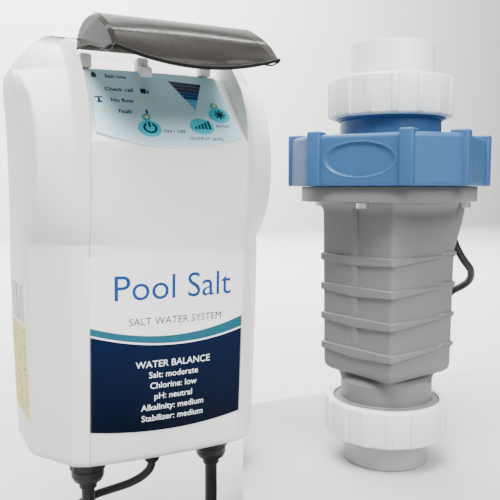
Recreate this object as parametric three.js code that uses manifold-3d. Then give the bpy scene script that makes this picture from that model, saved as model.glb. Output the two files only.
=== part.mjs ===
// Salt chlorine generator: a wall-hung controller and the in-line cell that it drives.
// Millimetres, +Z up. The wall is the plane y = 0 and the front faces -Y. The origin is the
// middle of the wall bracket's back face.
import * as THREE from 'three';
import * as BufferGeometryUtils from 'three/addons/utils/BufferGeometryUtils.js';
import Module from 'manifold-3d';

const wasm = await Module();
wasm.setup();

// ---------------------------------------------------------------- driving dimensions
const GAP = 0.3;                       // clearance between pieces that touch
const CASE_BOTTOM = -157;
const CASE_TOP = 157;
const CASE_BACK = -3;                  // back face of the rear housing
const PARTING = -50;                   // plane where the front cover meets the rear housing
const CASE_WALL = 3;
const RECESS_HALF = 58.5;              // half width between the two side wings
const PANEL_TOP = { y: -82, z: 128.6 };
const PANEL_TILT = Math.atan2(39.5, 47.6); // lean of the keypad from vertical
const PANEL_LENGTH = 61.5;             // down the slope, to where its round lower edge starts
const PANEL_THICK = 1.6;
const HINGE = { y: -82, z: 147 };      // lid hinge axis, along X
const LID_HALF = 57;
const LID_WALL = 2.2;
const FLOOR = -265;                    // surface under the controller's coiled cords
const LEDGE = -185;                    // surface under the cell

const CELL_X = 191;
const CELL_Y = -123;
const CELL_TURN = THREE.MathUtils.degToRad(10.8);
const CAP_TURN = THREE.MathUtils.degToRad(22.5); // the cap is turned by half an octant
const CAP_HALF = 71;
const CAP_FLAT = 41.5;                 // half length of a flat between two corners
const SKIRT_LOW = 46;
const SKIRT_HIGH = 85;
const FLANGE_LOW = 33.5;
const BODY_HALF = 39;
const BODY_LOW = -110;
const BODY_WALL = 3.6;
const BAND_HEIGHT = 7.4;
const BAND_STEP = 25.2;
const BAND_TOP = -9.5;
const NUT_RADIUS = 49.4;
const NUT_RIBS = 16;
const PIPE_RADIUS = 35;
const SOCKET_RADIUS = 30.3;            // takes two-inch pipe
const WATERWAY = 26;
const NECK_RADIUS = 41;
const LOWER_NECK_RADIUS = 38;
const THREAD_RADIUS = 43.6;
const NUT_BORE = 44.4;
const TOP_NUT = { low: 101, high: 133 };
const BOTTOM_NUT = { low: -162, high: -131.5 };
const TOP_END = 160;

const MAINS = 10;                      // cable diameters
const SENSOR = 6.5;

// ---------------------------------------------------------------- materials
const finish = (color, roughness = 0.5, metalness = 0) =>
  new THREE.MeshStandardMaterial({ color, roughness, metalness });
const white = finish(0xe8e8e6, 0.4);
const nutWhite = finish(0xeeeeea, 0.45);
const blue = finish(0x7ba3cf, 0.45);
const grey = finish(0x9a9a9a, 0.55);
const lightGrey = finish(0xb9bbbd, 0.5);
const keypadBlue = finish(0x9cc7dd, 0.4);
const teal = finish(0x3ba3b5, 0.4);
const smoke = finish(0x4a4846, 0.15);
const navy = finish(0x12265a, 0.4);
const black = finish(0x151515, 0.7);
const board = finish(0x1f6b3a, 0.5);
const steel = finish(0xb5b7ba, 0.35, 1);
const copper = finish(0xb46a35, 0.4, 1);
const titanium = finish(0x6d6a66, 0.45, 1);

// ---------------------------------------------------------------- solids
function solid(geometry) {
  const plain = geometry.index ? geometry.toNonIndexed() : geometry.clone();
  plain.deleteAttribute('normal');
  plain.deleteAttribute('uv');
  const merged = BufferGeometryUtils.mergeVertices(plain, 1e-4);
  const points = merged.attributes.position.array;
  const corners = Array.from(merged.index.array);
  if (signedVolume(points, corners) < 0) corners.reverse();
  return new wasm.Manifold(new wasm.Mesh({
    numProp: 3,
    vertProperties: new Float32Array(points),
    triVerts: new Uint32Array(corners),
  }));
}

// positive when the faces point outwards
function signedVolume(points, corners) {
  const at = (i) => new THREE.Vector3().fromArray(points, i * 3);
  let total = 0;
  for (let i = 0; i < corners.length; i += 3) {
    const [a, b, c] = [at(corners[i]), at(corners[i + 1]), at(corners[i + 2])];
    total += a.dot(b.cross(c)) / 6;
  }
  return total;
}

const join = (...parts) => parts.reduce((whole, part) => whole.add(part));
const cut = (body, ...tools) => tools.reduce((whole, tool) => whole.subtract(tool), body);

function surface(body) {
  const mesh = body.getMesh();
  const geometry = new THREE.BufferGeometry();
  geometry.setAttribute('position', new THREE.BufferAttribute(mesh.vertProperties, 3));
  geometry.setIndex(new THREE.BufferAttribute(mesh.triVerts, 1));
  geometry.computeVertexNormals();
  return geometry;
}

function piece(name, material, body, parent) {
  const mesh = new THREE.Mesh(surface(body), material);
  mesh.name = name;
  parent.add(mesh);
  return mesh;
}

const placed = (body, matrix) => solid(surface(body).applyMatrix4(matrix));
const shifted = (body, x, y, z) => placed(body, new THREE.Matrix4().makeTranslation(x, y, z));

function block(width, depth, height, x, y, z) {
  return solid(new THREE.BoxGeometry(width, depth, height).translate(x, y, z));
}

// a rod standing on z = low
function rod(radius, low, high, x = 0, y = 0, sides = 28) {
  const geometry = new THREE.CylinderGeometry(radius, radius, high - low, sides);
  return solid(geometry.rotateX(Math.PI / 2).translate(x, y, (low + high) / 2));
}

// a rod along Y, from y = back to y = front (front is the more negative)
function pin(radius, back, front, x, z, sides = 20) {
  const geometry = new THREE.CylinderGeometry(radius, radius, back - front, sides);
  return solid(geometry.translate(x, (back + front) / 2, z));
}

// a turned solid from [radius, z] corners that start and end on the axis, or close on themselves
function turned(profile, sides = 36) {
  const points = profile.map(([r, z]) => new THREE.Vector2(r, z));
  return solid(new THREE.LatheGeometry(points, sides).rotateX(Math.PI / 2));
}

// a flat washer or tube between two radii
function ring(inner, outer, low, high, sides = 36) {
  const profile = [[inner, low], [outer, low], [outer, high], [inner, high], [inner, low]];
  return turned(profile, sides);
}

// an O-ring of circular section lying at height z
function oring(radius, section, z) {
  return solid(new THREE.TorusGeometry(radius, section / 2, 6, 32).translate(0, 0, z));
}

function raise(shape, low, high, options = {}) {
  const geometry = new THREE.ExtrudeGeometry(shape, {
    depth: high - low, bevelEnabled: false, curveSegments: 6, ...options,
  });
  return geometry.translate(0, 0, low);
}

// an outline in the Y-Z plane carried along X between two places
function crosswise(outline, from, to) {
  const shape = new THREE.Shape(outline.map(([y, z]) => new THREE.Vector2(y, z)));
  const geometry = new THREE.ExtrudeGeometry(shape, { depth: to - from, bevelEnabled: false });
  const turn = new THREE.Matrix4().set(0, 0, 1, from, 1, 0, 0, 0, 0, 1, 0, 0, 0, 0, 0, 1);
  return solid(geometry.applyMatrix4(turn));
}

function roundedRectangle(width, height, radius) {
  const x = width / 2 - radius;
  const y = height / 2 - radius;
  const shape = new THREE.Shape();
  shape.absarc(x, y, radius, 0, Math.PI / 2);
  shape.absarc(-x, y, radius, Math.PI / 2, Math.PI);
  shape.absarc(-x, -y, radius, Math.PI, Math.PI * 1.5);
  shape.absarc(x, -y, radius, Math.PI * 1.5, Math.PI * 2);
  return shape;
}

// a closed skin over level outlines that all have the same number of corners
function loft(levels, outlineAt) {
  const outlines = levels.map((z) => outlineAt(z));
  const count = outlines[0].length;
  const positions = outlines.flatMap((outline, i) => outline.flatMap(([x, y]) => [x, y, levels[i]]));
  const faces = [];
  for (let level = 0; level < levels.length - 1; level += 1) {
    for (let i = 0; i < count; i += 1) {
      const next = (i + 1) % count;
      const a = level * count + i;
      const b = level * count + next;
      faces.push(a, b, b + count, a, b + count, a + count);
    }
  }
  const top = (levels.length - 1) * count;
  const flat = (outline) => outline.map(([x, y]) => new THREE.Vector2(x, y));
  for (const [a, b, c] of THREE.ShapeUtils.triangulateShape(flat(outlines[0]), [])) {
    faces.push(c, b, a);
  }
  for (const [a, b, c] of THREE.ShapeUtils.triangulateShape(flat(outlines.at(-1)), [])) {
    faces.push(top + a, top + b, top + c);
  }
  const geometry = new THREE.BufferGeometry();
  geometry.setAttribute('position', new THREE.Float32BufferAttribute(positions, 3));
  geometry.setIndex(faces);
  return geometry;
}

// a smooth curve through [height, value] keys
function follow(keys, height) {
  const last = keys.length - 1;
  if (height <= keys[0][0]) return keys[0][1];
  if (height >= keys[last][0]) return keys[last][1];
  const i = keys.findIndex(([z]) => z > height) - 1;
  const slope = (k) => {
    const a = keys[Math.max(k - 1, 0)];
    const b = keys[Math.min(k + 1, last)];
    return (b[1] - a[1]) / (b[0] - a[0]);
  };
  const [[z0, v0], [z1, v1]] = [keys[i], keys[i + 1]];
  const t = (height - z0) / (z1 - z0);
  const [h00, h01] = [2 * t ** 3 - 3 * t ** 2 + 1, 3 * t ** 2 - 2 * t ** 3];
  const [h10, h11] = [t ** 3 - 2 * t ** 2 + t, t ** 3 - t ** 2];
  return h00 * v0 + h01 * v1 + (z1 - z0) * (h10 * slope(i) + h11 * slope(i + 1));
}

// ---------------------------------------------------------------- controller case
// How far forward the case reaches at each height: at its side corner, at the crease
// behind it, at the wing's inner edge and on the centre line.
const SIDE_X = [[-157, 92.5], [-10, 93], [5, 92.2], [53, 90.8], [100, 91.2], [125, 94.6], [134, 93],
  [145, 86], [157, 75]];
const SIDE_Y = [[-157, -63], [-45, -71], [-6, -73], [10, -78], [20, -85.4], [35, -95.3], [53, -101.4],
  [70, -102.2], [85, -100], [100, -93.8], [115, -81.7], [125, -66], [134, -42], [157, -26]];
const CREASE_X = [[-157, 70], [5, 70], [53, 68.6], [100, 67.5], [125, 65], [157, 63]];
const CREASE_Y = [[-157, -103], [-62, -109], [5, -110], [35, -112.6], [53, -114.6], [70, -115],
  [85, -113], [100, -108], [115, -99.5], [125, -90], [143, -68], [157, -38]];
const EDGE_X = [[-157, 60], [157, RECESS_HALF + 0.6]];
const EDGE_Y = [[-157, -105], [-62, -112], [0, -116], [20, -119], [53, -123.2], [70, -124.6],
  [85, -124.8], [100, -122.6], [106, -119.5], [121, -111], [139, -93], [151, -74], [157, -52]];
const CENTRE_Y = [[-157, -109], [-62, -117.5], [10, -122], [53, -127.2], [71.6, -129.3],
  [84, -129.3], [157, -52]];

function caseOutline(z, inset) {
  const side = [follow(SIDE_X, z) - inset, follow(SIDE_Y, z) + inset];
  const crease = [follow(CREASE_X, z) - inset * 0.8, follow(CREASE_Y, z) + inset];
  const edge = [follow(EDGE_X, z) - inset * 0.4, follow(EDGE_Y, z) + inset];
  const centre = follow(CENTRE_Y, z) + inset;
  const half = [[side[0], CASE_BACK - inset], [side[0], side[1] + 6],
    [side[0] - 1.2, side[1] + 1], [side[0] - 4.5, side[1] - 2.6],
    crease, edge, [edge[0] / 2, centre * 0.75 + edge[1] * 0.25]];
  const right = half.map(([x, y]) => [x, y]);
  const left = half.map(([x, y]) => [-x, y]);
  return [right[0], ...left, [0, centre], ...right.slice(1).reverse()];
}

function caseSolid(inset) {
  const low = CASE_BOTTOM + inset;
  const high = CASE_TOP - inset;
  const steps = 16;
  const levels = Array.from({ length: steps + 1 }, (_, i) => low + (high - low) * i / steps);
  return solid(loft(levels, (z) => caseOutline(z, inset)));
}

// the recess between the wings: the keypad's slope with the hinge ledge above it
function recess(grow) {
  const reach = 68;                    // how far the keypad's plane runs on in front of the case
  const tip = [PANEL_TOP.y - reach, PANEL_TOP.z - reach / Math.tan(PANEL_TILT)];
  const outline = [
    [tip[0] + grow, tip[1] - grow], [PANEL_TOP.y + grow, PANEL_TOP.z - grow],
    [PANEL_TOP.y + 10 + grow, PANEL_TOP.z + 3 - grow], [-64 + grow, 139 - grow],
    [-58 + grow, CASE_TOP + 5], [tip[0], CASE_TOP + 5],
  ];
  return crosswise(outline, -RECESS_HALF - grow, RECESS_HALF + grow);
}

const frontHalfSpace = block(260, 200, 400, 0, PARTING - 100, 0);
const rearHalfSpace = block(260, 200, 400, 0, PARTING + 1.4 + 100, 0);
const caseShape = caseSolid(0);
const caseHollow = cut(caseSolid(CASE_WALL), recess(CASE_WALL));

const SCREW_PLACES = [[-80, -140], [80, -140], [-80, 96], [80, 96]];
const GLAND_HOLES = [[-56, -86, 10.3], [45, -84, 10.3], [-9, -95, 5.3]];

function onPanel(x, down, out = 0) {
  const y = PANEL_TOP.y - Math.sin(PANEL_TILT) * down - Math.cos(PANEL_TILT) * out;
  const z = PANEL_TOP.z - Math.cos(PANEL_TILT) * down + Math.sin(PANEL_TILT) * out;
  return new THREE.Vector3(x, y, z);
}

// maps a shape drawn in the keypad's plane (x across, y up the slope, z out of the face)
function panelMatrix(out) {
  const corner = onPanel(0, 0, out);
  const tip = new THREE.Matrix4().makeRotationX(Math.PI / 2 - PANEL_TILT);
  return new THREE.Matrix4().makeTranslation(corner.x, corner.y, corner.z).multiply(tip);
}

const BUTTONS = {
  power_button: { x: -16, down: 58, width: 17, height: 17 },
  output_button: { x: 24.5, down: 53.5, width: 17, height: 15 },
  boost_button: { x: 41.4, down: 41.4, width: 15, height: 15 },
};

function ovalShape(width, height) {
  const shape = new THREE.Shape();
  shape.absellipse(0, 0, width / 2, height / 2, 0, Math.PI * 2);
  return shape;
}

function panelShape(shrink) {
  const top = 49.3 - shrink;
  const low = 54.6 - shrink;
  const shape = new THREE.Shape();
  shape.moveTo(-top, -shrink);
  shape.quadraticCurveTo(0, 2 - shrink, top, -shrink);
  shape.lineTo(low, -PANEL_LENGTH + shrink);
  shape.quadraticCurveTo(0, -PANEL_LENGTH - 24 + shrink, -low, -PANEL_LENGTH + shrink);
  shape.closePath();
  return shape;
}

function onSlope(shape, from, to) {
  return solid(raise(shape, from, to).applyMatrix4(panelMatrix(0)));
}

function buttonOnSlope(spec, grow, from, to) {
  const outline = ovalShape(spec.width + grow * 2, spec.height + grow * 2);
  const lift = panelMatrix(0).multiply(new THREE.Matrix4().makeTranslation(spec.x, -spec.down, 0));
  return solid(raise(outline, from, to, { curveSegments: 10 }).applyMatrix4(lift));
}

function frontCover() {
  const shell = cut(caseShape.intersect(frontHalfSpace), recess(0), caseHollow);
  const posts = SCREW_PLACES.map(([x, z]) => pin(5, PARTING - GAP, -112, x, z)
    .intersect(caseShape).subtract(pin(1.8, PARTING + 5, -70, x, z, 12)));
  const lugs = LUGS.map((x) => crosswise(
    [[-61, 138], [-78, 133], [-86.5, 141], [-86.5, 150], [-80, 152], [-61, 147]], x - 4.5, x + 4.5));
  const keyholes = Object.values(BUTTONS).map((spec) => buttonOnSlope(spec, 1.5, -12, 3));
  const glands = GLAND_HOLES.map(([x, y, r]) => rod(r, CASE_BOTTOM - 5, CASE_BOTTOM + 8, x, y));
  return cut(join(shell, ...posts, ...lugs), hingeRod(2.2, 130), ...keyholes, ...glands);
}

function rearHousing() {
  const shell = cut(caseShape.intersect(rearHalfSpace), caseHollow);
  const columns = SCREW_PLACES.map(([x, z]) => pin(6, CASE_BACK - 1, PARTING + 1.4, x, z));
  const bores = SCREW_PLACES.map(([x, z]) => pin(2.6, 5, PARTING - 5, x, z, 16));
  const sinks = SCREW_PLACES.map(([x, z]) => pin(4.6, 5, -12, x, z, 16));
  const hooks = [-24, 24].map((x) => block(16, 12, 22, x, CASE_BACK, 46));
  const stands = [[-40, -60], [40, -60], [-40, 30], [40, 30]].map(([x, z]) =>
    pin(3, CASE_BACK - 2, -12, x, z));
  return cut(join(shell, ...columns, ...stands), ...bores, ...sinks, ...hooks);
}

function housingGasket() {
  const slab = block(260, 0.8, 400, 0, PARTING + 0.7, 0);
  return cut(caseSolid(0.8).intersect(slab), caseSolid(2.6));
}

function wallBracket() {
  const plate = raise(roundedRectangle(90, 130, 8), 0, 2).rotateX(Math.PI / 2);
  const holes = [[-33, 52], [33, 52], [-33, -52], [33, -52]].map(([x, z]) => pin(2.6, 3, -5, x, z, 16));
  const hooks = [-24, 24].map((x) => join(block(10, 5.6, 3, x, -4.6, 38), block(10, 2, 12, x, -6.8, 43)));
  return cut(join(solid(plate), ...hooks), ...holes);
}

function keypadPanel() {
  const plate = onSlope(panelShape(0), GAP, GAP + PANEL_THICK);
  const holes = Object.values(BUTTONS).map((spec) => buttonOnSlope(spec, 0, -1, 5));
  return cut(plate, ...holes);
}

function keypadButton(spec) {
  const cap = buttonOnSlope(spec, -0.4, -1.6, 2.5);
  const flange = buttonOnSlope(spec, 0.9, -2.8, -1.6);
  return join(cap, flange);
}

function rectangle(left, low, right, high) {
  return new THREE.Shape([[left, low], [right, low], [right, high], [left, high]]
    .map(([x, y]) => new THREE.Vector2(x, y)));
}

function displayBoard() {
  return onSlope(rectangle(-46, -62, 46, -6), -9.4, -7.8);
}

function lightGuide() {
  return join(onSlope(rectangle(-46, -46, -41, -8), -7.4, -5), onSlope(rectangle(-46, -16, 34, -8), -7.4, -5));
}

// the label wraps the convex front: a thin slice of the case's own skin
function frontLabel() {
  const skin = cut(caseSolid(-0.75), caseSolid(-GAP));
  const shape = new THREE.Shape();
  const [side, low, high] = [62.5, -129, -4.5];
  shape.moveTo(-side, low);
  shape.quadraticCurveTo(0, low - 5, side, low);
  shape.lineTo(side + 1, high - 1);
  shape.quadraticCurveTo(0, high + 7, -side - 1, high - 1);
  shape.closePath();
  const prism = raise(shape, 60, 200).rotateX(Math.PI / 2);
  return skin.intersect(solid(prism));
}

// a smoked visor: a curved roof over its hinge, with side walls and an open underside
function smokedLid() {
  const roof = [[-82, 151], [-91, 157], [-107, 160.5], [-128, 159], [-148, 150.5], [-163.5, 139.5],
    [-171.5, 129], [-176, 120.5]].map(([y, z]) => new THREE.Vector2(y, z));
  const outer = new THREE.SplineCurve(roof).getPoints(24).map((p) => [p.x, p.y]);
  const inner = outer.map(([y, z], i) => {
    const a = outer[Math.max(i - 1, 0)];
    const b = outer[Math.min(i + 1, outer.length - 1)];
    const [dy, dz] = [b[0] - a[0], b[1] - a[1]];
    const size = Math.hypot(dy, dz);
    return [y - dz / size * LID_WALL, z + dy / size * LID_WALL];
  });
  const sideEdge = [[-174.4, 119.5], [-171, 124], [-130, 137.5], [-92, 143.2], [-82, 143]];
  const visor = crosswise([...outer, ...sideEdge], -LID_HALF, LID_HALF);
  const shell = join(visor, hingeRod(4.2, LID_HALF * 2));
  const hollow = crosswise([...inner.slice(2), [-172, 105], [-120, 118], [-89, 128]],
    -LID_HALF + LID_WALL, LID_HALF - LID_WALL);
  const clear = LUGS.map((x) => block(10.4, 30, 40, x, -79.5, 140));
  return cut(shell, hollow, hingeRod(2.2, 130), ...clear, lidDroop());
}

const LUGS = [-50, -7, 44];

function hingeRod(radius, length) {
  const geometry = new THREE.CylinderGeometry(radius, radius, length, 16);
  return solid(geometry.rotateZ(Math.PI / 2).translate(0, HINGE.y, HINGE.z));
}

// trims the free edge so that it bows down in the middle
function lidDroop() {
  const shape = new THREE.Shape();
  shape.moveTo(-80, 100);
  shape.lineTo(80, 100);
  shape.lineTo(80, 130.5);
  shape.lineTo(LID_HALF, 130.5);
  shape.quadraticCurveTo(0, 113.5, -LID_HALF, 130.5);
  shape.lineTo(-80, 130.5);
  shape.closePath();
  return solid(raise(shape, 150, 200).rotateX(Math.PI / 2));
}

// a cord grip: hexagon, domed nut and tapered tail, hanging from the case floor
function cordGrip(x, y, bore, outer) {
  const low = CASE_BOTTOM;
  const profile = [[bore, low + 7], [outer * 0.76, low + 7], [outer * 0.76, low - GAP],
    [outer, low - GAP], [outer, low - 6], [outer * 0.93, low - 6.6], [outer * 0.93, low - 12],
    [outer * 0.8, low - 15], [bore + 1.6, low - 16], [bore + 1.2, low - 21], [bore, low - 21],
    [bore, low + 7]];
  return shifted(turned(profile, 24), x, y, 0);
}

// ---------------------------------------------------------------- controller insides
function heatSink() {
  const fins = Array.from({ length: 7 }, (_, i) => block(1.6, 22, 50, -36 + i * 6, -27.5, 95));
  return join(block(44, 3, 50, -18, -15.5, 95), ...fins);
}

// ---------------------------------------------------------------- cell outlines
function chamferedSquare(half, flat, radius) {
  const corners = [[half, -flat], [half, flat], [flat, half], [-flat, half],
    [-half, flat], [-half, -flat], [-flat, -half], [flat, -half]]
    .map(([x, y]) => new THREE.Vector2(x, y));
  const shape = new THREE.Shape();
  corners.forEach((corner, i) => {
    const before = corners[(i + 7) % 8];
    const after = corners[(i + 1) % 8];
    const into = corner.clone().add(before.clone().sub(corner).setLength(radius));
    const out = corner.clone().add(after.clone().sub(corner).setLength(radius));
    if (i === 0) shape.moveTo(into.x, into.y);
    else shape.lineTo(into.x, into.y);
    shape.quadraticCurveTo(corner.x, corner.y, out.x, out.y);
  });
  shape.closePath();
  return shape;
}

const turnCap = new THREE.Matrix4().makeRotationZ(CAP_TURN);
const INLET_SIDE = 1;                  // the flat that faces back and right
const capFaces = [0, 1, 2, 3].map((i) => new THREE.Matrix4().makeRotationZ(CAP_TURN + i * Math.PI / 2));

// a rod through one of the cap's flat sides, from far out to near the middle
function throughSide(radius, far, near, z, side, tip = radius) {
  const geometry = new THREE.CylinderGeometry(radius, tip, far - near, 24);
  return solid(geometry.translate(0, -(far + near) / 2, z).applyMatrix4(capFaces[side]));
}

function cellCap() {
  const round = { bevelEnabled: true, bevelSize: 4, bevelThickness: 4, bevelOffset: -4, bevelSegments: 3 };
  const skirt = solid(raise(chamferedSquare(CAP_HALF, CAP_FLAT, 5), SKIRT_LOW, SKIRT_HIGH - 4,
    { ...round, curveSegments: 3 }).applyMatrix4(turnCap));
  const trim = block(200, 200, 20, 0, 0, SKIRT_LOW - 10);
  const bossHigh = SKIRT_HIGH + 2.6;
  const bosses = capFaces.flatMap((turn) => [-1, 1].map((side) => placed(
    block(11, 14, bossHigh - SKIRT_LOW, side * (CAP_FLAT - 5.2), -CAP_HALF + 4.4, (bossHigh + SKIRT_LOW) / 2),
    turn)));
  const neck = join(rod(NECK_RADIUS, SKIRT_HIGH - 6, 100), rod(THREAD_RADIUS, 99.4, 120, 0, 0, 36));
  const inlet = throughSide(11, CAP_HALF + 14, CAP_HALF - 4, 66, INLET_SIDE, 10);
  const hollow = join(rod(WATERWAY, 60, 130, 0, 0, 40), rod(49.5, SKIRT_LOW - 5, 72, 0, 0, 36));
  const groove = ring(36.5, 39.5, 117.2, 125);
  const cableWay = throughSide(4, CAP_HALF + 30, CAP_HALF - 30, 66, INLET_SIDE);
  const bores = capScrewPlaces().map(([x, y]) => rod(1.9, SKIRT_LOW - 5, 61, x, y, 12));
  return cut(join(cut(skirt, trim), ...bosses, neck, inlet), hollow, groove, cableWay, ...bores);
}

function cellInlet() {
  const face = CAP_HALF + 14 + GAP;
  return join(throughSide(9, face + 6, face, 66, INLET_SIDE), throughSide(3.6, face + 2, face - 20, 66, INLET_SIDE));
}

function capScrewPlaces() {
  const reach = 62;
  return [0, 1, 2, 3].map((i) => {
    const angle = CAP_TURN + i * Math.PI / 2;
    return [reach * Math.cos(angle), reach * Math.sin(angle)];
  });
}

function bodyBands() {
  return Array.from({ length: 4 }, (_, i) => {
    const high = BAND_TOP - i * BAND_STEP;
    const shape = roundedRectangle(BODY_HALF * 2 + 5, BODY_HALF * 2 + 5, 5);
    return solid(raise(shape, high - BAND_HEIGHT + 1, high - 1,
      { bevelEnabled: true, bevelSize: 1, bevelThickness: 1, bevelOffset: -1, bevelSegments: 1, curveSegments: 2 }));
  });
}

// the square tube of the cell, its bottom edge rounded over
function bodyTube() {
  const levels = [[0, 8], [1.1, 4], [4, 1.1], [8, 0], [SKIRT_LOW - 4 - BODY_LOW, 0]];
  const insets = new Map(levels.map(([up, inset]) => [BODY_LOW + up, inset]));
  const outlineAt = (z) => {
    const side = (BODY_HALF - insets.get(z)) * 2;
    return roundedRectangle(side, side, 4).getPoints(4).slice(1).map((p) => [p.x, p.y]);
  };
  return solid(loft([...insets.keys()], outlineAt));
}

function cellBody() {
  const flange = solid(raise(chamferedSquare(CAP_HALF - 4, CAP_FLAT - 6, 14), FLANGE_LOW, SKIRT_LOW - GAP,
    { curveSegments: 3 }).applyMatrix4(turnCap));
  const fillet = turned([[0, FLANGE_LOW + 1], [54, FLANGE_LOW + 1], [47, FLANGE_LOW - 4],
    [42.6, FLANGE_LOW - 12], [0, FLANGE_LOW - 12]].reverse());
  const ribs = [block(6.4, 4, 138, 0, BODY_HALF, -36), block(6.4, 4, 138, 0, -BODY_HALF, -36),
    block(4, 6.4, 138, -BODY_HALF, 0, -36)];
  const neck = join(rod(LOWER_NECK_RADIUS, -133, BODY_LOW + 4), rod(THREAD_RADIUS, -152, -132.4, 0, 0, 36));
  const boss = join(rod(12.7, FLANGE_LOW - 8.8, FLANGE_LOW + 2, 46, -26), gusset());
  const outer = join(bodyTube(), flange, fillet, ...bodyBands(), ...ribs, neck, boss);
  const inside = BODY_HALF - BODY_WALL;
  const hollow = join(
    solid(raise(roundedRectangle(inside * 2, inside * 2, 3), BODY_LOW + 5, SKIRT_LOW + 5)),
    rod(WATERWAY + 2, -160, BODY_LOW + 10, 0, 0, 40));
  const grooves = [ring(53.1, 56.3, SKIRT_LOW - 3.1, SKIRT_LOW + 4), ring(32.5, 35.5, -160, -149.2)];
  const bores = capScrewPlaces().map(([x, y]) => rod(2.7, FLANGE_LOW - 20, SKIRT_LOW + 2, x, y, 16));
  const port = join(rod(7.5, 20, 40, ...SWITCH), block(26, 6, 5, 38, SWITCH[1], 31));
  return cut(outer, hollow, ...grooves, ...bores, port);
}

// a fairing under the flow switch's boss, running down to the first band
function gusset() {
  const outline = [[33, FLANGE_LOW - 6], [52, FLANGE_LOW - 6], [47, 16], [42, 4],
    [38, BAND_TOP - 3], [33, BAND_TOP - 3]];
  const shape = new THREE.Shape(outline.map(([x, z]) => new THREE.Vector2(x, z)));
  const wedge = solid(raise(shape, 14, 36).rotateX(Math.PI / 2));
  return cut(wedge, rod(9.2, -40, FLANGE_LOW - 8.8, ...SWITCH));
}

const SWITCH = [49, -27];              // the flow switch's axis, in the cell's own plan
const PADDLE = { x: 28.6, z: 31 };

function flowSwitch() {
  const plug = join(rod(7.2, FLANGE_LOW - 9.4, 39.5, ...SWITCH),
    rod(8.6, FLANGE_LOW - 11.5, FLANGE_LOW - 9.1, ...SWITCH));
  const arm = block(16.5, 5, 3.6, 40, SWITCH[1], 31);
  const cable = rod(3.7, 10, FLANGE_LOW - 6, ...SWITCH, 16);
  return cut(join(plug, arm), cable);
}

function flowPaddle() {
  const hub = solid(new THREE.CylinderGeometry(2.2, 2.2, 12, 16).translate(PADDLE.x, SWITCH[1], PADDLE.z));
  const vane = block(1.6, 20, 34, PADDLE.x, SWITCH[1] + 3, PADDLE.z - 18.4);
  return join(hub, vane);
}

function electrodeCarrier() {
  const plate = block(56, 66, 4, -6.5, 0, 29);
  const windows = [-23, -13, -3, 7].map((x) => block(7, 46, 8, x, 0, 29));
  return cut(plate, ...windows);
}

// ---------------------------------------------------------------- unions
function ribbedOutline() {
  const shape = new THREE.Shape();
  const points = [];
  for (let i = 0; i < NUT_RIBS; i += 1) {
    const middle = (i / NUT_RIBS) * Math.PI * 2;
    for (const [turn, grow] of [[-0.066, 0], [-0.052, 1.6], [0.052, 1.6], [0.066, 0], [0.195, -0.1]]) {
      const r = NUT_RADIUS + grow;
      points.push(new THREE.Vector2(r * Math.cos(middle + turn), r * Math.sin(middle + turn)));
    }
  }
  shape.setFromPoints(points);
  return shape;
}

function unionNut(low, high, lipLow, lipHigh) {
  const body = solid(raise(ribbedOutline(), low + 2, high - 2,
    { bevelEnabled: true, bevelSize: 2, bevelThickness: 2, bevelOffset: -2, bevelSegments: 1 }));
  const lipBelow = lipLow === low;
  const bore = lipBelow ? rod(NUT_BORE, lipHigh, high + 5, 0, 0, 36) : rod(NUT_BORE, low - 5, lipLow, 0, 0, 36);
  return cut(body, bore, rod(PIPE_RADIUS + 0.6, low - 5, high + 5, 0, 0, 36));
}

function tailpiece(seat, flangeEnd, end) {
  const profile = [[WATERWAY, seat], [NUT_BORE - 0.6, seat], [NUT_BORE - 0.6, flangeEnd],
    [PIPE_RADIUS, flangeEnd], [PIPE_RADIUS, end], [SOCKET_RADIUS, end],
    [SOCKET_RADIUS, flangeEnd], [WATERWAY, flangeEnd - Math.sign(end - seat) * 1.5], [WATERWAY, seat]];
  return turned(end > seat ? profile : profile.reverse());
}

// ---------------------------------------------------------------- cords
function cordTube(points, diameter, steps) {
  const path = new THREE.CatmullRomCurve3(points.map(([x, y, z]) => new THREE.Vector3(x, y, z)), false, 'centripetal');
  const section = new THREE.Shape();
  section.absarc(0, 0, diameter / 2, 0, Math.PI * 2);
  return solid(new THREE.ExtrudeGeometry(section, {
    steps, bevelEnabled: false, extrudePath: path, curveSegments: 5,
  }));
}

// the outer shape of a coil: its turns lie side by side and in layers, a diameter apart
function coilRing({ at, floor, diameter, middle, across, layers }, grow = 0) {
  const half = diameter * across / 2 + grow;
  const body = ring(middle - half, middle + half, floor - grow, floor + diameter * layers + grow, 36);
  return shifted(body, at[0], at[1], 0);
}

const coilTop = ({ floor, diameter, layers }) => floor + diameter * layers;

const COILS = {
  power: { at: [4, -150], floor: FLOOR, diameter: MAINS, middle: 55, across: 2, layers: 3 },
  cell: { at: [158, -154], floor: FLOOR, diameter: MAINS, middle: 60, across: 3, layers: 3 },
  sensor: { at: [-130, -117.5], floor: FLOOR, diameter: SENSOR, middle: 36, across: 3, layers: 2 },
  flow: { at: besideCell(-10, 88), floor: LEDGE, diameter: SENSOR, middle: 36, across: 3, layers: 2 },
};

// a place beside the cell's axis: right and away are along and across the cell's back
function besideCell(right, away) {
  const [cos, sin] = [0.786, 0.618];
  return [CELL_X + right * cos + away * sin, CELL_Y - right * sin + away * cos];
}

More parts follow.
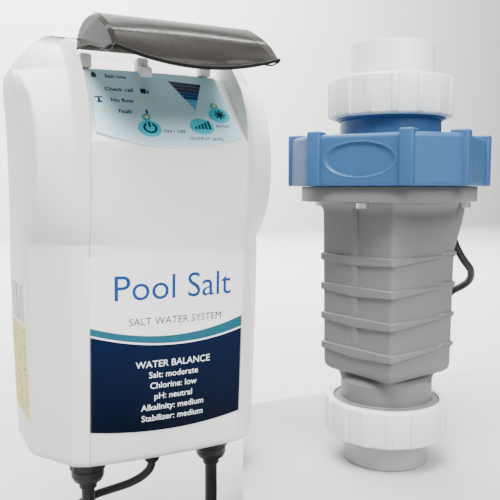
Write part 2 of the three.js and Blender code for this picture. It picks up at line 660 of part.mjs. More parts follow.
const POWER_ROUTE = [[-56, -86, -178.3], [-56, -86, -190], [-56, -86, -203], [-56, -86, -216],
  [-56, -89.3, -232.8], [-56, -98.9, -247.1], [-56, -113.2, -256.7], [-56, -130, -260], [-56, -150, -260]];
const CELL_ROUTE = [[45, -84, -178.3], [45, -84, -190], [45, -84, -203], [45, -84, -216],
  [48.3, -84, -232.8], [57.9, -84, -247.1], [72.2, -84, -256.7], [89, -84, -260], [112, -84, -260],
  [135, -84, -260], [158, -84, -260]];
const SENSOR_ROUTE = [[-9, -95, -163.3], [-10, -94.5, -168.5], [-15, -91.5, -175], [-24, -85.5, -181.5],
  [-35, -77.5, -187], [-47, -70, -192.5], [-60, -64.5, -201], [-74, -61.5, -214], [-88, -61, -230],
  [-101, -63.5, -246], [-114, -69, -257], [-123, -73.4, -261.3], [-130, -75, -261.75]];
const FLOW_ROUTE = [[52.5, 19.2, 22.5], [52.7, 19.2, 14], [54, 20, 4], [58, 22, -7], [64, 26, -17], [70.5, 33, -26],
  [71, 43, -36], [65, 53, -43.5], [58, 61, -49], [50, 66, -60], [41.5, 66, -80], [35, 60, -104],
  [32.5, 54, -130], [32.5, 52, -155.7], [32.5, 54.7, -166.5], [32.5, 61.5, -175.5], [32.5, 70, -180.4],
  [32.5, 79, -181.75], [32.5, 88, -181.75]].map(([right, away, z]) => [...besideCell(right, away), z]);

function lead(route, diameter, coil, steps) {
  return cut(cordTube(route, diameter, steps), coilRing(coil, GAP));
}

function powerPlug() {
  const [x, y] = COILS.power.at;
  const z = coilTop(COILS.power) + GAP;
  const grip = raise(roundedRectangle(26, 21, 6), 0, 34, { bevelEnabled: true, bevelSize: 2,
    bevelThickness: 2, bevelOffset: -2, bevelSegments: 2, curveSegments: 4 });
  const tail = new THREE.CylinderGeometry(8, 6, 12, 16).rotateX(Math.PI / 2).translate(0, 0, -5);
  const blades = [[-6.3, 2.6], [6.3, 2.6]].map(([dx, dy]) => block(1.6, 6.4, 18, dx, dy, 42));
  const ground = solid(new THREE.CylinderGeometry(2.4, 2.4, 20, 12).rotateX(Math.PI / 2).translate(0, -6, 43));
  const along = new THREE.Matrix4().set(0, 0, 1, x + 6, 1, 0, 0, y - COILS.power.middle, 0, 1, 0, z + 10.5, 0, 0, 0, 1);
  return placed(join(solid(grip), solid(tail), ...blades, ground), along);
}

// an in-line connector lying on its coil, pointing along a heading
function connector(coil, turn, heading, length, radius) {
  const profile = [[0, 0], [radius * 0.55, 0], [radius * 0.8, length * 0.25], [radius, length * 0.3],
    [radius, length * 0.62], [radius * 0.84, length * 0.64], [radius * 0.84, length], [0, length]];
  const angle = THREE.MathUtils.degToRad(turn);
  const spin = new THREE.Matrix4().makeRotationZ(THREE.MathUtils.degToRad(heading));
  const lay = new THREE.Matrix4().makeRotationY(Math.PI / 2);
  const x = coil.at[0] + coil.middle * Math.cos(angle);
  const y = coil.at[1] + coil.middle * Math.sin(angle);
  const move = new THREE.Matrix4().makeTranslation(x, y, coilTop(coil) + GAP + radius);
  return placed(turned(profile, 20), move.multiply(spin).multiply(lay));
}

// ---------------------------------------------------------------- assembly
const group = new THREE.Group();
const controller = new THREE.Group();
const cell = new THREE.Group();
cell.position.set(CELL_X, CELL_Y, 0);
cell.rotation.z = CELL_TURN;
group.add(controller, cell);

piece('wall_bracket', steel, wallBracket(), controller);
piece('rear_housing', white, rearHousing(), controller);
piece('housing_gasket', black, housingGasket(), controller);
piece('front_cover', white, frontCover(), controller);
piece('keypad_panel', keypadBlue, keypadPanel(), controller);
for (const [name, spec] of Object.entries(BUTTONS)) {
  piece(name, teal, keypadButton(spec), controller);
}
piece('light_guide', lightGrey, lightGuide(), controller);
piece('display_board', board, displayBoard(), controller);
piece('smoked_lid', smoke, smokedLid(), controller);
piece('hinge_pin', steel, hingeRod(1.8, 110), controller);
piece('front_label', navy, frontLabel(), controller);
piece('power_gland', black, cordGrip(-56, -86, MAINS / 2 + GAP, 13), controller);
piece('cell_gland', black, cordGrip(45, -84, MAINS / 2 + GAP, 13), controller);
piece('sensor_grommet', black, shifted(turned([[3.6, -152], [5, -152], [5, -157.3], [7, -157.3],
  [6.6, -160], [4.6, -163], [3.6, -163], [3.6, -152]], 20), -9, -95, 0), controller);
SCREW_PLACES.forEach(([x, z], i) => {
  const screw = join(pin(4.2, CASE_BACK - 5, -11.7, x, z), pin(1.5, -11, -62, x, z, 12));
  piece(`cover_screw_${i + 1}`, steel, screw, controller);
});
piece('power_board', board, block(104, 1.6, 124, 0, -13.2, -15), controller);
piece('transformer_core', steel, cut(block(66, 28, 56, 12, -38, -110),
  block(13, 40, 30, 27.5, -38, -110), block(13, 40, 30, -3.5, -38, -110)), controller);
piece('transformer_winding', copper, cut(block(43, 48, 29, 12, -38, -110),
  block(18.8, 28.6, 40, 12, -38, -110)), controller);
piece('heat_sink', steel, heatSink(), controller);

piece('cell_body', grey, cellBody(), cell);
piece('cell_cap', blue, cellCap(), cell);
piece('cap_seal', black, oring(54.7, 2.2, SKIRT_LOW - 1.6), cell);
capScrewPlaces().forEach(([x, y], i) => {
  const screw = join(rod(4.6, FLANGE_LOW - 4.3, FLANGE_LOW - GAP, x, y, 20), rod(1.6, FLANGE_LOW - 1, 59, x, y, 12));
  piece(`cap_screw_${i + 1}`, steel, screw, cell);
});
piece('cell_inlet', black, cellInlet(), cell);
piece('top_tailpiece', nutWhite, tailpiece(120.6, 126.4, TOP_END), cell);
piece('top_union_nut', nutWhite, unionNut(TOP_NUT.low, TOP_NUT.high, 126.9, TOP_NUT.high), cell);
piece('top_union_ring', black, oring(38, 2.4, 118.7), cell);
piece('bottom_tailpiece', lightGrey, tailpiece(-152.6, -158.2, LEDGE), cell);
piece('bottom_union_nut', nutWhite, unionNut(BOTTOM_NUT.low, BOTTOM_NUT.high, BOTTOM_NUT.low, -158.7), cell);
piece('bottom_union_ring', black, oring(34, 2.4, -150.7), cell);
piece('electrode_carrier', black, electrodeCarrier(), cell);
[-18, -8, 2, 12].forEach((x, i) => {
  piece(`electrode_plate_${i + 1}`, titanium, block(1.5, 50, 104, x, 0, -25.4), cell);
});
[-12, 12].forEach((y, i) => {
  piece(`terminal_post_${i + 1}`, titanium, rod(2.6, 31.3, 62, -29, y, 16), cell);
});
piece('flow_switch', black, flowSwitch(), cell);
piece('flow_paddle', lightGrey, flowPaddle(), cell);

piece('power_cord', black, lead(POWER_ROUTE, MAINS, COILS.power, 14), group);
piece('power_cord_coil', black, coilRing(COILS.power), group);
piece('power_plug', black, powerPlug(), group);
piece('cell_cable', black, lead(CELL_ROUTE, MAINS, COILS.cell, 16), group);
piece('cell_cable_coil', black, coilRing(COILS.cell), group);
piece('cell_connector', black, connector(COILS.cell, -90, 180, 58, 11), group);
piece('sensor_lead', black, lead(SENSOR_ROUTE, SENSOR, COILS.sensor, 16), group);
piece('sensor_lead_coil', black, coilRing(COILS.sensor), group);
piece('sensor_connector', black, connector(COILS.sensor, -90, 0, 38, 6.2), group);
piece('flow_lead', black, lead(FLOW_ROUTE, SENSOR, COILS.flow, 26), group);
piece('flow_lead_coil', black, coilRing(COILS.flow), group);
piece('flow_connector', black, connector(COILS.flow, -68.2, 21.8, 36, 6.2), group);

export default group;
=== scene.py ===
# %% [markdown]
# # A pool chlorine generator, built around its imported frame
#
# A salt chlorine generator is two things. A white wall box holds the power supply and the
# keypad, under a smoked flip lid. A grey and blue cell sits in the pipework and holds the
# electrodes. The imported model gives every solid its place, its size and its joints. This
# script puts the visible surfaces around it, in metres, and each piece rides on a body.

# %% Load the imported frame
import math

import bpy
import numpy as np
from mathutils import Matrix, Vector


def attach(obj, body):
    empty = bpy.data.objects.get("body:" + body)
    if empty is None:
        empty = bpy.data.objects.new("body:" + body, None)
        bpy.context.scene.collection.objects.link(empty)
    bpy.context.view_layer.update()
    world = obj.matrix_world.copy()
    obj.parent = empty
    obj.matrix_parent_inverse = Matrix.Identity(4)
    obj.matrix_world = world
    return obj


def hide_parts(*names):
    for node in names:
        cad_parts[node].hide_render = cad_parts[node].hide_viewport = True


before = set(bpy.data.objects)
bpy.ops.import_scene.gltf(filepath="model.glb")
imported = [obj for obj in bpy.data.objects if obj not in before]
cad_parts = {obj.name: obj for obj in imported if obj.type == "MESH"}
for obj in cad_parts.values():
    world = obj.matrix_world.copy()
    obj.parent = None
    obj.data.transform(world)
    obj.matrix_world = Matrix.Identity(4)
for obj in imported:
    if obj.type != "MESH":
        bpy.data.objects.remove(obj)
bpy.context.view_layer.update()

MM = 0.001
FIXED = "case_and_cell"

# %% [markdown]
# The camera comes first, because the cords are judged by what it sees. It stands half a
# metre in front of the wall box and to its left, looks 27 degrees to the right and a
# little down. A longer lens further away would flatten the two units.

# %% Camera
CAMERA_AT = (-0.178, -0.592, 0.043)
HEADING = math.radians(-27)
PITCH = math.atan(60 / 700)

camera_data = bpy.data.cameras.new("camera")
camera_data.lens = 50.4
camera_data.sensor_width = 36
camera_data.clip_start = 0.02
camera = bpy.data.objects.new("camera", camera_data)
bpy.context.scene.collection.objects.link(camera)
camera.location = CAMERA_AT
camera.rotation_euler = (math.pi / 2 - PITCH, 0, HEADING)
bpy.context.scene.camera = camera
print("camera at", CAMERA_AT)

# %% [markdown]
# Meshes start as grids of points: rows along one direction and columns along the other.
# One helper turns any grid into faces. A closed grid joins its last column or row to the
# first. An open one can be capped with a fan. Lists of faces are worked out as whole
# arrays, so there is no loop over vertices.

# %% Grids to meshes
def grid_faces(rows, columns, close_rows, close_columns):
    """Quads of a grid: each joins a point to its right, its upper right and its upper point."""
    row = np.arange(rows if close_rows else rows - 1)
    column = np.arange(columns if close_columns else columns - 1)
    r, c = np.meshgrid(row, column, indexing="ij")
    up, right = (r + 1) % rows, (c + 1) % columns
    corners = [r * columns + c, r * columns + right, up * columns + right, up * columns + c]
    return np.stack(corners, axis=-1).reshape(-1, 4).tolist()


def grid(points, close_rows=False, close_columns=True, cap=True):
    """Points and faces of a grid; the two open ends of closed columns get one flat face each."""
    points = np.asarray(points, float)
    rows, columns = points.shape[:2]
    faces = grid_faces(rows, columns, close_rows, close_columns)
    if cap and close_columns and not close_rows:
        faces.append(list(range(columns))[::-1])
        faces.append([(rows - 1) * columns + i for i in range(columns)])
    return points.reshape(-1, 3), faces


def merged(*meshes):
    """Several meshes as one list of points and faces."""
    points, faces, start = [], [], 0
    for some_points, some_faces in meshes:
        points.append(some_points)
        faces += [[i + start for i in face] for face in some_faces]
        start += len(some_points)
    return np.concatenate(points), faces


def moved(mesh, matrix=None, shift=(0, 0, 0)):
    """The same mesh turned by a 3 x 3 matrix, then shifted."""
    points, faces = mesh
    if matrix is not None:
        points = points @ np.asarray(matrix, float).T
    return points + np.asarray(shift, float), faces


def volume_sign(points, faces):
    """Six times the volume by fans of triangles; negative when the faces point inwards."""
    total = 0.0
    for count in {len(face) for face in faces}:
        corners = points[np.array([face for face in faces if len(face) == count])]
        for i in range(1, count - 1):
            a, b, c = corners[:, 0], corners[:, i], corners[:, i + 1]
            total += float(np.einsum("ij,ij->i", a, np.cross(b, c)).sum())
    return total


def outward(mesh):
    """Turns every face round if the closed mesh is inside out."""
    points, faces = mesh
    if volume_sign(points - points.mean(axis=0), faces) < 0:
        faces = [face[::-1] for face in faces]
    return points, faces


def piece(name, mesh, material, body=FIXED, replaces=(), sharp=35):
    """One object from a mesh in millimetres, riding a body."""
    points, faces = mesh
    data = bpy.data.meshes.new(name)
    data.from_pydata((points * MM).tolist(), [], faces)
    data.validate()
    data.polygons.foreach_set("use_smooth", [True] * len(data.polygons))
    data.set_sharp_from_angle(angle=math.radians(sharp))
    data.materials.append(material)
    data.update()
    thing = bpy.data.objects.new(name, data)
    bpy.context.scene.collection.objects.link(thing)
    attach(thing, body)
    if replaces:
        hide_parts(*replaces)
    print(f"{name}: {len(data.polygons)} faces")
    return thing


def turn_z(angle):
    """A turn about the upright axis by an angle in radians."""
    c, s = math.cos(angle), math.sin(angle)
    return np.array([[c, -s, 0], [s, c, 0], [0, 0, 1]])


def turn_x(angle):
    """A turn about the left-right axis by an angle in radians."""
    c, s = math.cos(angle), math.sin(angle)
    return np.array([[1, 0, 0], [0, c, -s], [0, s, c]])

# %% [markdown]
# Materials are worked out from noise and from the place on the piece. A small class wraps
# a socket, so that a pattern can be written as ordinary arithmetic, and one method adds
# any other node.

# %% Shader arithmetic
class Wire:
    """An output socket that can be added, multiplied and compared."""

    def __init__(self, tree, socket):
        self.tree, self.socket = tree, socket

    def maths(self, operation, *values):
        return node(self.tree, "ShaderNodeMath", {"operation": operation},
                    dict(enumerate([self, *values])))

    def __add__(self, other):
        return self.maths("ADD", other)

    def __sub__(self, other):
        return self.maths("SUBTRACT", other)

    def __mul__(self, other):
        return self.maths("MULTIPLY", other)

    def __gt__(self, other):
        return self.maths("GREATER_THAN", other)

    def __lt__(self, other):
        return self.maths("LESS_THAN", other)

    def smaller(self, other):
        return self.maths("MINIMUM", other)

    def larger(self, other):
        return self.maths("MAXIMUM", other)

    def out(self, name):
        return Wire(self.tree, self.socket.node.outputs[name])


def plug(tree, socket, value):
    """Links a wire to a socket, or sets the socket's own value."""
    if isinstance(value, Wire):
        tree.links.new(value.socket, socket)
    else:
        socket.default_value = value


def node(tree, kind, settings=None, values=None):
    """Adds a node, sets it up, fills its sockets and returns its first output."""
    added = tree.nodes.new(kind)
    for name, value in (settings or {}).items():
        setattr(added, name, value)
    for key, value in (values or {}).items():
        plug(tree, added.inputs[key], value)
    return Wire(tree, next(s for s in added.outputs if s.enabled))


def mix(tree, factor, first, second):
    """A colour between two others."""
    added = tree.nodes.new("ShaderNodeMix")
    added.data_type = "RGBA"
    plug(tree, added.inputs["Factor"], factor)
    plug(tree, added.inputs[6], first)
    plug(tree, added.inputs[7], second)
    return Wire(tree, added.outputs[2])


def rgba(colour):
    """A colour with full opacity."""
    return (*colour[:3], 1.0)


def shaded(colour, amount):
    """A colour made lighter or darker by a factor."""
    return tuple(min(1.0, c * amount) for c in colour[:3])


class Surface:
    """A material under construction: its tree, its shader and its place on the piece."""

    def __init__(self, name, roughness=0.5, metallic=0.0, coat=0.0):
        self.material = bpy.data.materials.new(name)
        self.material.use_nodes = True
        self.tree = self.material.node_tree
        self.shader = self.tree.nodes["Principled BSDF"]
        self.place = node(self.tree, "ShaderNodeTexCoord").out("Object")
        self.set("Roughness", roughness)
        self.set("Metallic", metallic)
        self.set("Coat Weight", coat)

    def set(self, name, value):
        """Gives a shader input a value or a wire."""
        plug(self.tree, self.shader.inputs[name], value)

    def noise(self, scale, detail=3, stretch=None):
        """Soft noise from 0 to 1 over the piece, finer as the scale grows."""
        place = self.place
        if stretch:
            place = node(self.tree, "ShaderNodeMapping", {}, {"Vector": place, "Scale": stretch})
        return node(self.tree, "ShaderNodeTexNoise", {},
                    {"Vector": place, "Scale": scale, "Detail": detail})

    def axes(self):
        """The place on the piece in millimetres, as three wires."""
        split = node(self.tree, "ShaderNodeSeparateXYZ", {}, {0: self.place})
        return split.out("X") * 1000, split.out("Y") * 1000, split.out("Z") * 1000

    def bump(self, height, distance):
        """Relief that follows a height, as deep as the distance in metres."""
        self.set("Normal", node(self.tree, "ShaderNodeBump", {},
                                {"Height": height, "Distance": distance, "Strength": 1.0}))

    def mix(self, factor, first, second):
        """A colour between two others, by a wire or a number."""
        return mix(self.tree, factor, first, second)

# %% [markdown]
# Almost everything here is moulded plastic. Its colour wanders a little with the flow of
# the melt, its gloss is uneven where hands have been, and the mould leaves a fine grain.

# %% Plastics, rubber and metals
def plastic(name, colour, roughness=0.42, grain=0.00004, grain_scale=1500, wander=0.05, coat=0.0,
            dust=None, shine=0.5):
    """Colour between two near shades by soft noise; gloss by a second noise; grain as bump."""
    s = Surface(name, coat=coat)
    s.set("Specular IOR Level", shine)
    flow = s.noise(28, 2)
    tint = s.mix(flow, rgba(shaded(colour, 1 - wander)), rgba(shaded(colour, 1 + wander)))
    if dust:
        low = s.noise(60, 4)
        tint = s.mix((low - 0.52).larger(0) * 2.2, tint, rgba(dust))
    s.set("Base Color", tint)
    s.set("Roughness", s.noise(90, 3) * 0.14 + (roughness - 0.07))
    s.bump(s.noise(grain_scale, 2), grain)
    return s.material


def metal(name, colour, roughness=0.3, stretch=(1, 1, 30), scale=180):
    """Bare metal with drawn lines in its gloss and a faint uneven tone."""
    s = Surface(name, metallic=1.0)
    lines = s.noise(scale, 3, stretch)
    s.set("Base Color", s.mix(s.noise(40, 2), rgba(shaded(colour, 0.9)),
                              rgba(shaded(colour, 1.08))))
    s.set("Roughness", lines * 0.25 + (roughness - 0.12))
    s.bump(lines, 0.00003)
    return s.material


WHITE = (0.74, 0.745, 0.725)
case_white = plastic("case_white", WHITE, 0.40, 0.00003, 900, 0.015)
nut_white = plastic("union_white", (0.66, 0.665, 0.66), 0.36, 0.00003, 700, 0.02)
pipe_white = plastic("pipe_white", (0.69, 0.69, 0.69), 0.34, 0.00002, 600, 0.015)
cap_blue = plastic("cap_blue", (0.024, 0.078, 0.19), 0.46, 0.00005, 900, 0.04, shine=0.3)
body_grey = plastic("cell_grey", (0.138, 0.14, 0.137), 0.5, 0.00006, 800, 0.05, shine=0.35)
pale_grey = plastic("pipe_grey", (0.33, 0.335, 0.345), 0.42, 0.00004, 700, 0.04)
black_plastic = plastic("black_plastic", (0.012, 0.012, 0.013), 0.42, 0.00006, 900, 0.15, shine=0.3)
black_rubber = plastic("black_rubber", (0.010, 0.010, 0.011), 0.62, 0.0001, 1600, 0.2,
                       dust=(0.03, 0.03, 0.032), shine=0.25)
cord_black = plastic("cord_black", (0.011, 0.011, 0.012), 0.42, 0.00008, 1300, 0.2, shine=0.3)
grey_tie = plastic("tie_grey", (0.10, 0.10, 0.10), 0.5, 0.00005, 900, 0.1)
steel = metal("steel", (0.62, 0.62, 0.63), 0.32)
aluminium = metal("aluminium", (0.74, 0.75, 0.76), 0.36)
copper = metal("winding_copper", (0.62, 0.27, 0.11), 0.34, (1, 1, 60), 400)
titanium = metal("coated_titanium", (0.16, 0.15, 0.145), 0.5, (1, 1, 4), 300)
print("plain finishes made")

# %% [markdown]
# Four cords leave the two units. Two thick ones and a thin one hang from grips under the
# box, and a thin one leaves the flow switch on the cell. Each is a round tube along a
# smooth path. The length that isn't in use is wound in a neat coil with a tie, turns side
# by side and in layers. The path of a coil is a circle whose radius and height change
# slowly from turn to turn.

# %% Paths
FLOOR = -265.0
LEDGE = -185.0
MAINS = 10.0
SENSOR = 6.5
CELL_AT = np.array([191.0, -123.0, 0.0])


def beside_cell(right, away, z):
    """A place given across and along the line of sight through the cell's axis."""
    return [CELL_AT[0] + right * 0.786 + away * 0.618, CELL_AT[1] - right * 0.618 + away * 0.786, z]


def smooth_path(points, step):
    """Centripetal Catmull-Rom curve through the points, as the CAD tube has, evenly resampled."""
    p = np.asarray(points, float)
    p = np.vstack([2 * p[0] - p[1], p, 2 * p[-1] - p[-2]])
    knots = np.concatenate([[0], np.cumsum(np.linalg.norm(np.diff(p, axis=0), axis=1) ** 0.5)])
    out = []
    for i in range(1, len(p) - 2):
        t0, t1, t2, t3 = knots[i - 1:i + 3]
        t = np.linspace(t1, t2, 24, endpoint=False)[:, None]
        a1 = (t1 - t) / (t1 - t0) * p[i - 1] + (t - t0) / (t1 - t0) * p[i]
        a2 = (t2 - t) / (t2 - t1) * p[i] + (t - t1) / (t2 - t1) * p[i + 1]
        a3 = (t3 - t) / (t3 - t2) * p[i + 1] + (t - t2) / (t3 - t2) * p[i + 2]
        b1 = (t2 - t) / (t2 - t0) * a1 + (t - t0) / (t2 - t0) * a2
        b2 = (t3 - t) / (t3 - t1) * a2 + (t - t1) / (t3 - t1) * a3
        out.append((t2 - t) / (t2 - t1) * b1 + (t - t1) / (t2 - t1) * b2)
    return evenly(np.vstack([*out, p[-2:-1]]), step)


def evenly(points, step):
    """The same line with points a step apart along its length."""
    lengths = np.concatenate([[0], np.cumsum(np.linalg.norm(np.diff(points, axis=0), axis=1))])
    count = max(8, int(lengths[-1] / step) + 1)
    at = np.linspace(0, lengths[-1], count)
    return np.stack([np.interp(at, lengths, points[:, k]) for k in range(3)], axis=1)


def coil_path(centre, floor, diameter, middle, across, layers, start, end, way, rise=0.0,
              climb=0.3):
    """Turns that go outer to inner, then a layer up and back out. Angle runs from start to end."""
    places = []
    for layer in range(layers):
        order = range(across) if layer % 2 else range(across - 1, -1, -1)
        places += [(middle + (k - (across - 1) / 2) * diameter, floor + diameter * (layer + 0.5))
                   for k in order]
    turns = len(places) - 1 + (way * (end - start) % 360) / 360
    t = np.linspace(0, turns, int(turns * 48) + 1)
    whole = np.minimum(t.astype(int), len(places) - 1)
    ahead = np.minimum(whole + 1, len(places) - 1)
    part = np.clip((t - whole - 0.8) / 0.2, 0, 1)
    part = part * part * (3 - 2 * part)
    table = np.array(places)
    radius = table[whole, 0] * (1 - part) + table[ahead, 0] * part
    height = table[whole, 1] * (1 - part) + table[ahead, 1] * part
    last = np.clip((t - (turns - climb)) / climb, 0, 1)
    height = height + rise * last * last * (3 - 2 * last)
    radius = radius + (middle - radius) * last * last * (3 - 2 * last)
    angle = np.radians(start) + way * 2 * np.pi * t
    return np.stack([centre[0] + radius * np.cos(angle), centre[1] + radius * np.sin(angle), height],
                    axis=1)


def tube(path, diameter, sides=16):
    """A circle carried along the path; its frame turns as little as it can from point to point."""
    path = np.asarray(path, float)
    ahead = np.gradient(path, axis=0)
    ahead /= np.linalg.norm(ahead, axis=1)[:, None]
    side = np.cross(ahead[0], [0.31, 0.22, 0.92])
    sides_along = []
    for direction in ahead:
        side = side - direction * side.dot(direction)
        side /= np.linalg.norm(side)
        sides_along.append(side)
    side = np.array(sides_along)
    other = np.cross(ahead, side)
    a = np.linspace(0, 2 * np.pi, sides, endpoint=False)
    ring = np.cos(a)[None, :, None] * side[:, None] + np.sin(a)[None, :, None] * other[:, None]
    return outward(grid(path[:, None] + ring * diameter / 2))

# %% [markdown]
# Each cord is one tube from its grip, along its hanging part, round its coil and into its
# plug or connector. The routes are the ones that the CAD tubes follow.

# %% The four cords
POWER_ROUTE = [(-56, -86, -178.3), (-56, -86, -190), (-56, -86, -203), (-56, -86, -216),
               (-56, -89.3, -232.8), (-56, -98.9, -247.1), (-56, -113.2, -256.7), (-56, -130, -260),
               (-56, -150, -260)]
CELL_ROUTE = [(45, -84, -178.3), (45, -84, -190), (45, -84, -203), (45, -84, -216),
              (48.3, -84, -232.8), (57.9, -84, -247.1), (72.2, -84, -256.7), (89, -84, -260),
              (112, -84, -260), (135, -84, -260), (158, -84, -260)]
SENSOR_ROUTE = [(-9, -95, -163.3), (-10, -94.5, -168.5), (-15, -91.5, -175), (-24, -85.5, -181.5),
                (-35, -77.5, -187), (-47, -70, -192.5), (-60, -64.5, -201), (-74, -61.5, -214),
                (-88, -61, -230), (-101, -63.5, -246), (-114, -69, -257), (-123, -73.4, -261.3),
                (-130, -75, -261.75)]
FLOW_ROUTE = [beside_cell(*p) for p in [
    (52.5, 19.2, 22.5), (52.7, 19.2, 14), (54, 20, 4), (58, 22, -7), (64, 26, -17), (70.5, 33, -26),
    (71, 43, -36), (65, 53, -43.5), (58, 61, -49), (50, 66, -60), (41.5, 66, -80), (35, 60, -104),
    (32.5, 54, -130), (32.5, 52, -155.7), (32.5, 54.7, -166.5), (32.5, 61.5, -175.5),
    (32.5, 70, -180.4), (32.5, 79, -181.75), (32.5, 88, -181.75)]]
FLOW_COIL_AT = beside_cell(-10, 88, 0)
CORDS = {
    "power_cord": dict(route=POWER_ROUTE, diameter=MAINS, centre=(4, -150), floor=FLOOR, middle=55,
                       across=2, layers=3, start=180, end=262, way=1, rise=15.8, far="plug",
                       ends=["power_plug"], nodes=["power_cord", "power_cord_coil"]),
    "cell_cable": dict(route=CELL_ROUTE, diameter=MAINS, centre=(158, -154), floor=FLOOR, middle=60,
                       across=3, layers=3, start=90, end=-86, way=-1, rise=16.3, far="connector",
                       ends=["cell_connector"], nodes=["cell_cable", "cell_cable_coil"]),
    "sensor_lead": dict(route=SENSOR_ROUTE, diameter=SENSOR, centre=(-130, -117.5), floor=FLOOR,
                        middle=36, across=3, layers=2, start=90, end=-96, way=1, rise=9.75,
                        far="connector", ends=["sensor_connector"],
                        nodes=["sensor_lead", "sensor_lead_coil"]),
    "flow_lead": dict(route=FLOW_ROUTE, diameter=SENSOR, centre=FLOW_COIL_AT[:2], floor=LEDGE,
                      middle=36, across=3, layers=2, start=-38.18, end=-74, way=1, rise=9.75, climb=0.1,
                      far="connector", ends=["flow_connector"],
                      nodes=["flow_lead", "flow_lead_coil"]),
}


def lay_cord(name, spec):
    """One cord: its route, its coil and its tie. Returns the length in metres."""
    hanging = smooth_path(spec["route"], spec["diameter"] * 0.5)
    coil = coil_path(spec["centre"], spec["floor"], spec["diameter"], spec["middle"], spec["across"],
                     spec["layers"], spec["start"], spec["end"], spec["way"], spec["rise"],
                     spec.get("climb", 0.3))
    path = evenly(np.vstack([hanging[:-1], coil]), spec["diameter"] * 0.45)
    cord = piece(name + "_run", tube(path, spec["diameter"] * 0.985, 14), cord_black,
                 replaces=spec["nodes"], sharp=60)
    length = float(np.linalg.norm(np.diff(path, axis=0), axis=1).sum()) * MM
    spec["diameter"] * MM
    coil_tie(name, spec)
    print(name, "length", round(length, 3), "m")
    return length


def coil_tie(name, spec):
    """A flat band round the coil's bundle: a rounded rectangle in the plane through its axis."""
    d, half = spec["diameter"], spec["diameter"] * spec["across"] / 2 + 0.7
    high = spec["diameter"] * spec["layers"] + 1.0
    angle = math.radians(spec["start"] + spec["way"] * 140)
    t = np.linspace(0, 2 * np.pi, 48, endpoint=False)
    power = 0.35
    u = np.sign(np.cos(t)) * np.abs(np.cos(t)) ** power * half
    v = np.sign(np.sin(t)) * np.abs(np.sin(t)) ** power * high / 2
    rows = []
    for across, grow in ((-0.5, 0), (-0.35, 0.9), (0.35, 0.9), (0.5, 0), (0.4, -0.3), (-0.4, -0.3)):
        scale_u, scale_v = 1 + grow / half, 1 + grow / (high / 2)
        rows.append(np.stack([spec["middle"] + u * scale_u, np.full_like(u, across * d * 0.9),
                              v * scale_v], axis=1))
    band = outward(grid(np.array(rows), close_rows=True))
    lift = spec["floor"] + d * spec["layers"] / 2 + 0.9
    band = moved(band, turn_z(angle), (*spec["centre"], lift))
    return piece(name + "_tie", band, grey_tie)


lengths = {name: lay_cord(name, spec) for name, spec in CORDS.items()}
print(lengths)

# %% [markdown]
# The case is one skin in two halves. At each height its outline has a flat side, a rounded
# front corner, a crease, the inner edge of the wing and a bowed front. Each of these runs
# along its own smooth curve of height, so the wings can sweep out, over the keypad and in
# again. The wings end in a foot, where the curves have a kink.

# %% The curves of the case
CASE_HALF = 157.0          # half of the case's height
EDGE_ROUND = 5.0           # radius of its top and bottom edges
PARTING = -50.0            # depth of the joint between cover and housing
RECESS_HALF = 58.5         # half of the keypad recess's width
PANEL_TOP = np.array([-82.0, 128.6])      # depth and height of the keypad's top edge
PANEL_TILT = math.atan2(39.5, 47.6)
FOOT = 5.0                 # height of the wings' feet

# keys are height and place; X is out from the middle and Y is depth, forward negative
SIDE_X = [(-157, 92.5), (-10, 93), (5, 92.2), (53, 90.8), (100, 91.2), (125, 94.6), (134, 93),
          (145, 86), (157, 75)]
BULGE = [(-157, 0.5), (-60, 2.5), (0, 3.2), (60, 4.8), (105, 5.2), (125, 3), (145, 1), (157, 0)]
SIDE_Y_LOW = [(-157, -63), (-45, -71), (FOOT, -73.5)]
SIDE_Y = [(FOOT, -73.5), (12, -81.5), (20, -88.5), (35, -97.2), (53, -101.9), (70, -102.2),
          (85, -100), (100, -93.8), (115, -81.7), (125, -66), (134, -42), (157, -26)]
CREASE_X = [(-157, 70), (5, 70), (53, 68.6), (100, 67.5), (125, 65), (157, 63)]
CREASE_Y_LOW = [(-157, -101), (-62, -105.2), (FOOT, -105.2)]
CREASE_Y = [(FOOT, -105.2), (10, -108.2), (17, -111.3), (27, -113.7), (42, -115.2), (70, -115.6),
            (85, -113), (100, -108), (115, -99.5), (125, -90), (143, -68), (157, -38)]
EDGE_Y_LOW = [(-157, -105), (-62, -112), (FOOT, -114.6)]
EDGE_Y = [(FOOT, -114.6), (12, -117.4), (24, -120.6), (53, -123.6), (70, -124.6), (85, -124.8),
          (100, -122.6), (106, -119.5), (121, -111), (139, -93), (151, -74), (157, -52)]
CENTRE_Y = [(-157, -109), (-62, -117.5), (10, -122), (53, -127.2), (71.6, -129.3), (84, -129.3),
            (157, -52)]


def follow(keys, at):
    """A smooth cubic through [height, value] keys, with slopes that join each key's neighbours."""
    h, v = np.array(keys, float).T
    ends = np.minimum(np.arange(len(h)) + 1, len(h) - 1)
    starts = np.maximum(np.arange(len(h)) - 1, 0)
    slope = (v[ends] - v[starts]) / (h[ends] - h[starts])
    at = np.clip(np.asarray(at, float), h[0], h[-1])
    i = np.clip(np.searchsorted(h, at, side="right") - 1, 0, len(h) - 2)
    width = h[i + 1] - h[i]
    t = (at - h[i]) / width
    return ((2 * t**3 - 3 * t**2 + 1) * v[i] + (3 * t**2 - 2 * t**3) * v[i + 1]
            + width * ((t**3 - 2 * t**2 + t) * slope[i] + (t**3 - t**2) * slope[i + 1]))


def kinked(low, high, at):
    """One curve below the wing's foot and another above it."""
    return np.where(np.asarray(at) < FOOT, follow(low, at), follow(high, at))


